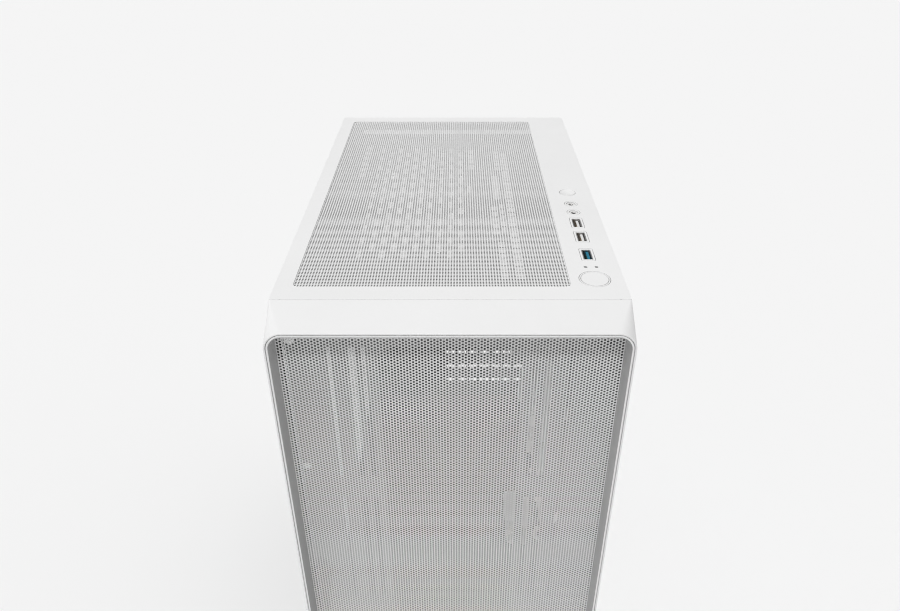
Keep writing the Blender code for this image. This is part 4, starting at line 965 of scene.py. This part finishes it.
def makeRoofMarks():
    seam, roof = topLow.y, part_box("chassis_top")[1].z
    wide, long = roofMarks["width"] / 2, roofMarks["length"] / 2
    marks = []

    def column(x, near, far, pitch, half, halfWide, shift):
        y = near + half + shift
        while y + half <= far:
            marks.append((x, y, halfWide, half))
            y += pitch

    for i in range(roofMarks["columns"]):
        share = i / (roofMarks["columns"] - 1)
        x = roofMarks["fieldFrom"] + share * (roofMarks["fieldTo"] - roofMarks["fieldFrom"])
        column(x, roofMarks["near"], roofMarks["far"], roofMarks["pitch"], long, wide,
               (i % 2) * roofMarks["pitch"] / 2)
    for row in roofMarks["rows"]:
        column(*row)
    spans = [((x - halfWide, seam + y - half, roof + 0.0001),
              (x + halfWide, seam + y + half, roof + roofMarks["height"])) for x, y, halfWide, half in marks]
    louvres = fromBoxes("roofLouvres", "paleMoulding", spans)
    standFor(louvres, "white_steel", body=frame["nodes"]["chassis_top"]["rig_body"])
    return len(marks)


print("roof louvres:", makeRoofMarks())


# fans

fanLook = {
    "blades": 9,
    "along": 9,                  # how finely a blade is divided
    "across": 6,
    "spread": 37.0,              # degrees that a blade takes at its root
    "sweep": 24.0,
    "pitch": 0.74,               # share of the depth that a blade climbs
    "camber": 0.16,
    "thickness": 0.0011,
}


def makeRotor(node, direction, hub):
    low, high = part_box(node)
    centre = (low + high) / 2
    turn = Vector(direction).to_track_quat("Z", "X").to_matrix()
    depth = abs((high - low).dot(Vector(direction)))
    tip = max(high - low) / 2
    half = depth / 2
    cup = [(0.0, half), (hub - 0.0016, half), (hub - 0.0005, half - 0.0004), (hub, half - 0.0016),
           (hub, -half), (hub - 0.0014, -half), (hub - 0.0014, half - 0.0022), (0.0, half - 0.0022)]
    standFor(turned(f"{node}Hub", "paleMoulding", centre, cup, direction, 56), "pale_plastic", node)
    bm = bmesh.new()
    along, across = fanLook["along"], fanLook["across"]
    for blade in range(fanLook["blades"]):
        grid = []
        for i in range(along + 1):
            out = i / along
            radius = hub - 0.0006 + (tip - hub - 0.0004) * out
            row = []
            for j in range(across + 1):
                share = j / across - 0.5
                angle = (math.tau * blade / fanLook["blades"] + math.radians(fanLook["sweep"]) * out ** 1.4
                         + math.radians(fanLook["spread"]) * share * (1 - 0.22 * out))
                lift = depth * (fanLook["pitch"] * (1 - 0.3 * out) * share
                                + fanLook["camber"] * (0.25 - share * share) * (1 - 0.4 * out))
                spot = turn @ Vector((radius * math.cos(angle), radius * math.sin(angle), lift))
                row.append(bm.verts.new(centre + spot))
            grid.append(row)
        for i in range(along):
            for j in range(across):
                bm.faces.new((grid[i][j], grid[i + 1][j], grid[i + 1][j + 1], grid[i][j + 1]))
    vanes = fromBmesh(f"{node}Blades", bm, "paleMoulding", smooth=40)
    wall = vanes.modifiers.new("bladeWall", "SOLIDIFY")
    wall.thickness = fanLook["thickness"]
    wall.offset = 0
    soften(vanes, 0.0003, 1)
    standFor(vanes, "pale_plastic", node)


makeRotor("rear_fan_rotor", (0, -1, 0), 0.0205)
makeRotor("cooler_fan_rotor", (-1, 0, 0), 0.0165)
makeRotor("psu_fan_rotor", (0, 0, -1), 0.0205)
print("fan rotors made")


# board fittings

fittings = {
    "seed": 4,
    "small": 150,                # tiny parts scattered on the board
    "chips": ((0.0045, 0.0045), (0.0035, 0.0035), (0.003, 0.004), (0.005, 0.003), (0.0025, 0.0025)),
    "plugs": ((0.0035, 0.0085), (0.0035, 0.0085), (0.0030, 0.0125), (0.0028, 0.0060), (0.0028, 0.0060)),
    "chipHeight": 0.0011,
    "cans": 16,
    "canRadius": 0.0031,
    "canHeight": 0.0085,         # the white plugs are as high
    "margin": 0.0022,
    "boardThick": 0.0016,
}


def makeBoardFittings():
    face = boardHigh.x - fittings["boardThick"]
    dice = random.Random(fittings["seed"])
    taken = []
    for node in ("chipset_heatsink", "regulator_heatsink", "cooler_heatsink", "processor", "memory_stick_1",
                 "memory_stick_2", "port_block"):
        low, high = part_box(node)
        taken.append((low.y, high.y, low.z, high.z))
    memoryLow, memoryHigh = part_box("memory_stick_2")
    taken.append((memoryLow.y - 0.006, memoryHigh.y + 0.024, memoryLow.z - 0.012, memoryHigh.z + 0.012))
    # the two power sockets and the two expansion sockets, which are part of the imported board
    taken += [(boardLow.y, boardLow.y + 0.014, 0.294, 0.354), (0.112, 0.140, 0.414, 0.430)]
    taken += [(0.022, 0.119, z - 0.006, z + 0.006) for z in (0.2432, 0.2026)]

    def room(halfY, halfZ):
        for _ in range(60):
            y = dice.uniform(boardLow.y + 0.006, boardHigh.y - 0.012)
            z = dice.uniform(boardLow.z + 0.006, boardHigh.z - 0.008)
            gap = fittings["margin"]
            if all(y + halfY + gap < a or y - halfY - gap > b or z + halfZ + gap < c or z - halfZ - gap > d
                   for a, b, c, d in taken):
                taken.append((y - halfY, y + halfY, z - halfZ, z + halfZ))
                return y, z
        return None

    def seat(spans, halfY, halfZ, height):
        spot = room(halfY, halfZ)
        if spot:
            y, z = spot
            spans.append(((face - height, y - halfY, z - halfZ), (face + 0.0001, y + halfY, z + halfZ)))
        return spot

    chips, plugs, tiny = [], [], []
    for halfY, halfZ in fittings["chips"]:
        seat(chips, halfY, halfZ, fittings["chipHeight"])
    for halfY, halfZ in fittings["plugs"]:
        seat(plugs, halfY, halfZ, fittings["canHeight"])
    cans = [spot for spot in (room(fittings["canRadius"], fittings["canRadius"])
                              for _ in range(fittings["cans"])) if spot]
    for _ in range(fittings["small"]):
        seat(tiny, dice.choice((0.0005, 0.0008)), dice.choice((0.0004, 0.0010)), 0.0006)
    board = frame["nodes"]["motherboard"]["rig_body"]
    standFor(fromBoxes("boardChips", "darkMoulding", chips, 0.00015), "dark_plastic", body=board)
    standFor(fromBoxes("boardPlugs", "paleMoulding", plugs, 0.0002), "pale_plastic", body=board)
    standFor(fromBoxes("boardSmallParts", "tinPlate", tiny), "bare_metal", body=board)
    radius, height = fittings["canRadius"], fittings["canHeight"]
    for index, (y, z) in enumerate(cans):
        profile = [(0.0, -0.0001), (radius, -0.0001), (radius, 0.0008), (radius - 0.0002, 0.0012),
                   (radius - 0.0002, height - 0.0006), (radius - 0.0008, height), (0.0, height - 0.0001)]
        can = turned(f"boardCan{index + 1}", "tinPlate", (face, y, z), profile, (-1, 0, 0), 20)
        standFor(can, "bare_metal", body=board)
    return len(chips), len(plugs), len(tiny), len(cans)


print("board fittings:", makeBoardFittings())


# sockets at the back

rearSockets = {
    "bays": (0.021, 0.044, 0.066, 0.088, 0.112, 0.134),      # their middles over the shield's lower edge
    "middle": 0.0690,
    "depth": 0.011,
    "wall": 0.0004,
}


def makeRearSockets():
    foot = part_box("io_shield")[0].z
    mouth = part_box("port_block")[1].y
    front, back = mouth - rearSockets["depth"], mouth - 0.0004
    middle, wall = rearSockets["middle"], rearSockets["wall"]
    shells, tongues, dark = [], [], []

    def socket(x, z, halfX, halfZ, tongue):
        shells.append(((x - halfX, front, z + halfZ - wall), (x + halfX, back, z + halfZ)))
        shells.append(((x - halfX, front, z - halfZ), (x + halfX, back, z - halfZ + wall)))
        shells.append(((x - halfX, front, z - halfZ + wall), (x - halfX + wall, back, z + halfZ - wall)))
        shells.append(((x + halfX - wall, front, z - halfZ + wall), (x + halfX, back, z + halfZ - wall)))
        dark.append(((x - halfX + wall, front, z - halfZ + wall),
                     (x + halfX - wall, front + 0.001, z + halfZ - wall)))
        if tongue:
            tongues.append(((x - halfX + 0.0012, front + 0.0008, z - 0.0002),
                            (x + halfX - 0.0012, back - 0.0010, z + 0.0016)))

    heights = [foot + bay for bay in rearSockets["bays"]]
    for z in heights[2:5]:
        for lift in (-0.0038, 0.0038):
            socket(middle, z + lift, 0.0065, 0.0028, True)
    socket(middle, heights[1], 0.0079, 0.0066, False)
    for x in (-0.0068, 0.0068):
        socket(middle + x, heights[5], 0.0058, 0.0032, True)
    board = frame["nodes"]["port_block"]["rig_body"]
    standFor(fromBoxes("rearShells", "tinPlate", shells, 0.0001), "bare_metal", body=board)
    standFor(fromBoxes("rearTongues", "blueMoulding", tongues, 0.0002), "blue_plastic", body=board)
    standFor(fromBoxes("rearSeats", "darkMoulding", dark), "dark_plastic", body=board)
    for index, x in enumerate((-0.0085, 0.0, 0.0085)):
        depth = rearSockets["depth"]
        ring = [(0.0033, 0.0), (0.0033, depth - 0.0008), (0.0030, depth - 0.0004), (0.0018, depth - 0.0004),
                (0.0018, 0.0)]
        jack = turned(f"rearJack{index + 1}", "darkMoulding", (middle + x, front, heights[0]), ring,
                      (0, 1, 0), 28)
        standFor(jack, "dark_plastic", body=board)


makeRearSockets()
print("rear sockets made")


# thumbscrews and filter net

screwLook = {"teeth": 26, "steps": 156, "knurl": 0.00025, "shank": 0.0015, "head": 0.0070}
netLook = {"pitch": 0.0022, "hole": 0.00094, "thickness": 0.0004}


def makeThumbscrew(node):
    low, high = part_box(node)
    centre = (low + high) / 2
    radius = (high.x - low.x) / 2
    start = high.y - screwLook["head"]
    shank, top = screwLook["shank"], high.y
    profile = [(0.0, low.y), (shank, low.y), (shank, start), (radius - 0.0008, start),
               (radius, start + 0.0006), (radius, top - 0.0012), (radius - 0.0007, top - 0.0003),
               (radius - 0.0011, top), (0.0026, top), (0.0022, top - 0.0007), (0.0, top - 0.0007)]
    screw = turned(f"{node}Head", "coatedSteel", (centre.x, 0, centre.z), profile, (0, 1, 0),
                   screwLook["steps"], (screwLook["teeth"], screwLook["knurl"], (4, 5)))
    standFor(screw, "white_steel", node)


def makeFilterNet():
    low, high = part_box("filter_net")
    pitch = netLook["pitch"]
    centre = (low + high) / 2
    across, deep = int((high.x - low.x) / pitch), int((high.y - low.y) / pitch)
    grid = np.array([(centre.x + (i - (across - 1) / 2) * pitch, centre.y + (j - (deep - 1) / 2) * pitch)
                     for i in range(across) for j in range(deep)])
    corners, hole = ringOf(4, pitch / math.sqrt(2), 45), ringOf(8, netLook["hole"], 45)
    mesh = perforatedMesh("filterWeave", grid, corners, hole, netLook["thickness"], lyingAt(centre.z))
    standFor(asObject("filterWeave", mesh, "softRubber"), "grey_rubber", "filter_net")
    return len(grid)


for screwNode in ("side_screw_lower", "side_screw_upper", "window_screw_lower", "window_screw_upper"):
    makeThumbscrew(screwNode)
print("filter holes:", makeFilterNet())


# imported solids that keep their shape

keptSolids = {
    "mouldedWhite": {"top_panel": 0.00018, "port_carrier": 0.0001, "power_button": 0.00015,
                     "rear_fan_frame": 0.0003, "cooler_fan_frame": 0.0003, "psu_fan_frame": 0.0003,
                     "filter_frame": 0.0003, "foot_front_left": 0.0004, "foot_front_right": 0.0004,
                     "foot_rear_left": 0.0004, "foot_rear_right": 0.0004},
    # the chassis front, the inner steel and the rear panel's inward faces carry painted shade: darker
    # finishes for the shade inside the case
    "frontPlatePaintedShade": {"chassis_front": 0.0002},
    "innerSteelPaintedShade": {"chassis_top": 0.0, "board_tray": 0.0, "psu_shroud": 0.0003, "drive_cage": 0.0002},
    "rearSteelPaintedShadeInside": {"rear_panel": 0.0, "slot_cover": 0.0002},
    "coatedSteel": {"chassis_floor": 0.0002, "steel_side": 0.0004, "window_rail": 0.0003,
                    "psu_case": 0.0002},
    "sideGlass": {"side_window": 0.0004},
    "boardMask": {"motherboard": 0.0, "port_board": 0.0},
    "tinPlate": {"io_shield": 0.0, "port_block": 0.0, "hard_drive": 0.0005},
    "darkMoulding": {"mains_inlet": 0.0002, "switch_rocker": 0.0003, "solid_state_drive": 0.0004,
                     "power_switch": 0.0002, "reset_switch": 0.0002},
    "paleMoulding": {"headphone_jack": 0.0002, "microphone_jack": 0.0002},
    "lightPipe": {"light_pipes": 0.0},
    "finAluminium": {"processor": 0.0003, "cooler_heatsink": 0.0, "chipset_heatsink": 0.0002,
                     "regulator_heatsink": 0.0002, "memory_stick_1": 0.0003, "memory_stick_2": 0.0003},
    "braidedSleeve": {"board_power_cable": 0.0, "processor_power_cable": 0.0, "front_panel_cable": 0.0},
}

for finish, nodes in keptSolids.items():
    for node, edge in nodes.items():
        dress(node, finish, edge)
print("packed solids dressed")


def shadeInside():
    # what stands inside the case gets only the soft light that comes in through its openings
    outside = ("top_panel", "top_mesh", "front_bezel", "front_mesh", "steel_side", "side_window",
               "window_rail", "rear_panel", "filter_frame", "power_button", "reset_button",
               "port_carrier", "light_pipes", "usb3_socket", "usb2_front_socket", "usb2_rear_socket",
               "headphone_jack", "microphone_jack", "foot_front_left", "foot_front_right",
               "foot_rear_left", "foot_rear_right", "slot_cover", "io_shield", "port_block",
               "mains_inlet", "switch_rocker", "psu_case", "side_screw_lower", "side_screw_upper",
               "window_screw_lower", "window_screw_upper")
    for name, node in frame["nodes"].items():
        if name not in outside:
            keyless.objects.link(node)
    for piece in scene.objects:
        within = piece.name.startswith(("board", "rear_fan", "cooler_fan", "psu_fan"))
        if within and piece.name not in keyless.objects:
            keyless.objects.link(piece)
    for member in keyless.collection_objects:
        member.light_linking.link_state = "EXCLUDE"
    # the louvres under the top sheet are lit as through its holes, so the sheet casts no shadow on them
    openWork = bpy.data.collections.new("lightPassesThrough")
    for piece in scene.objects:
        if piece.name.startswith("topMesh"):
            openWork.objects.link(piece)
    for member in openWork.collection_objects:
        member.light_linking.link_state = "EXCLUDE"
    for lamp in ("keyLight", "frontFill"):
        scene.objects[lamp].light_linking.blocker_collection = openWork


shadeInside()
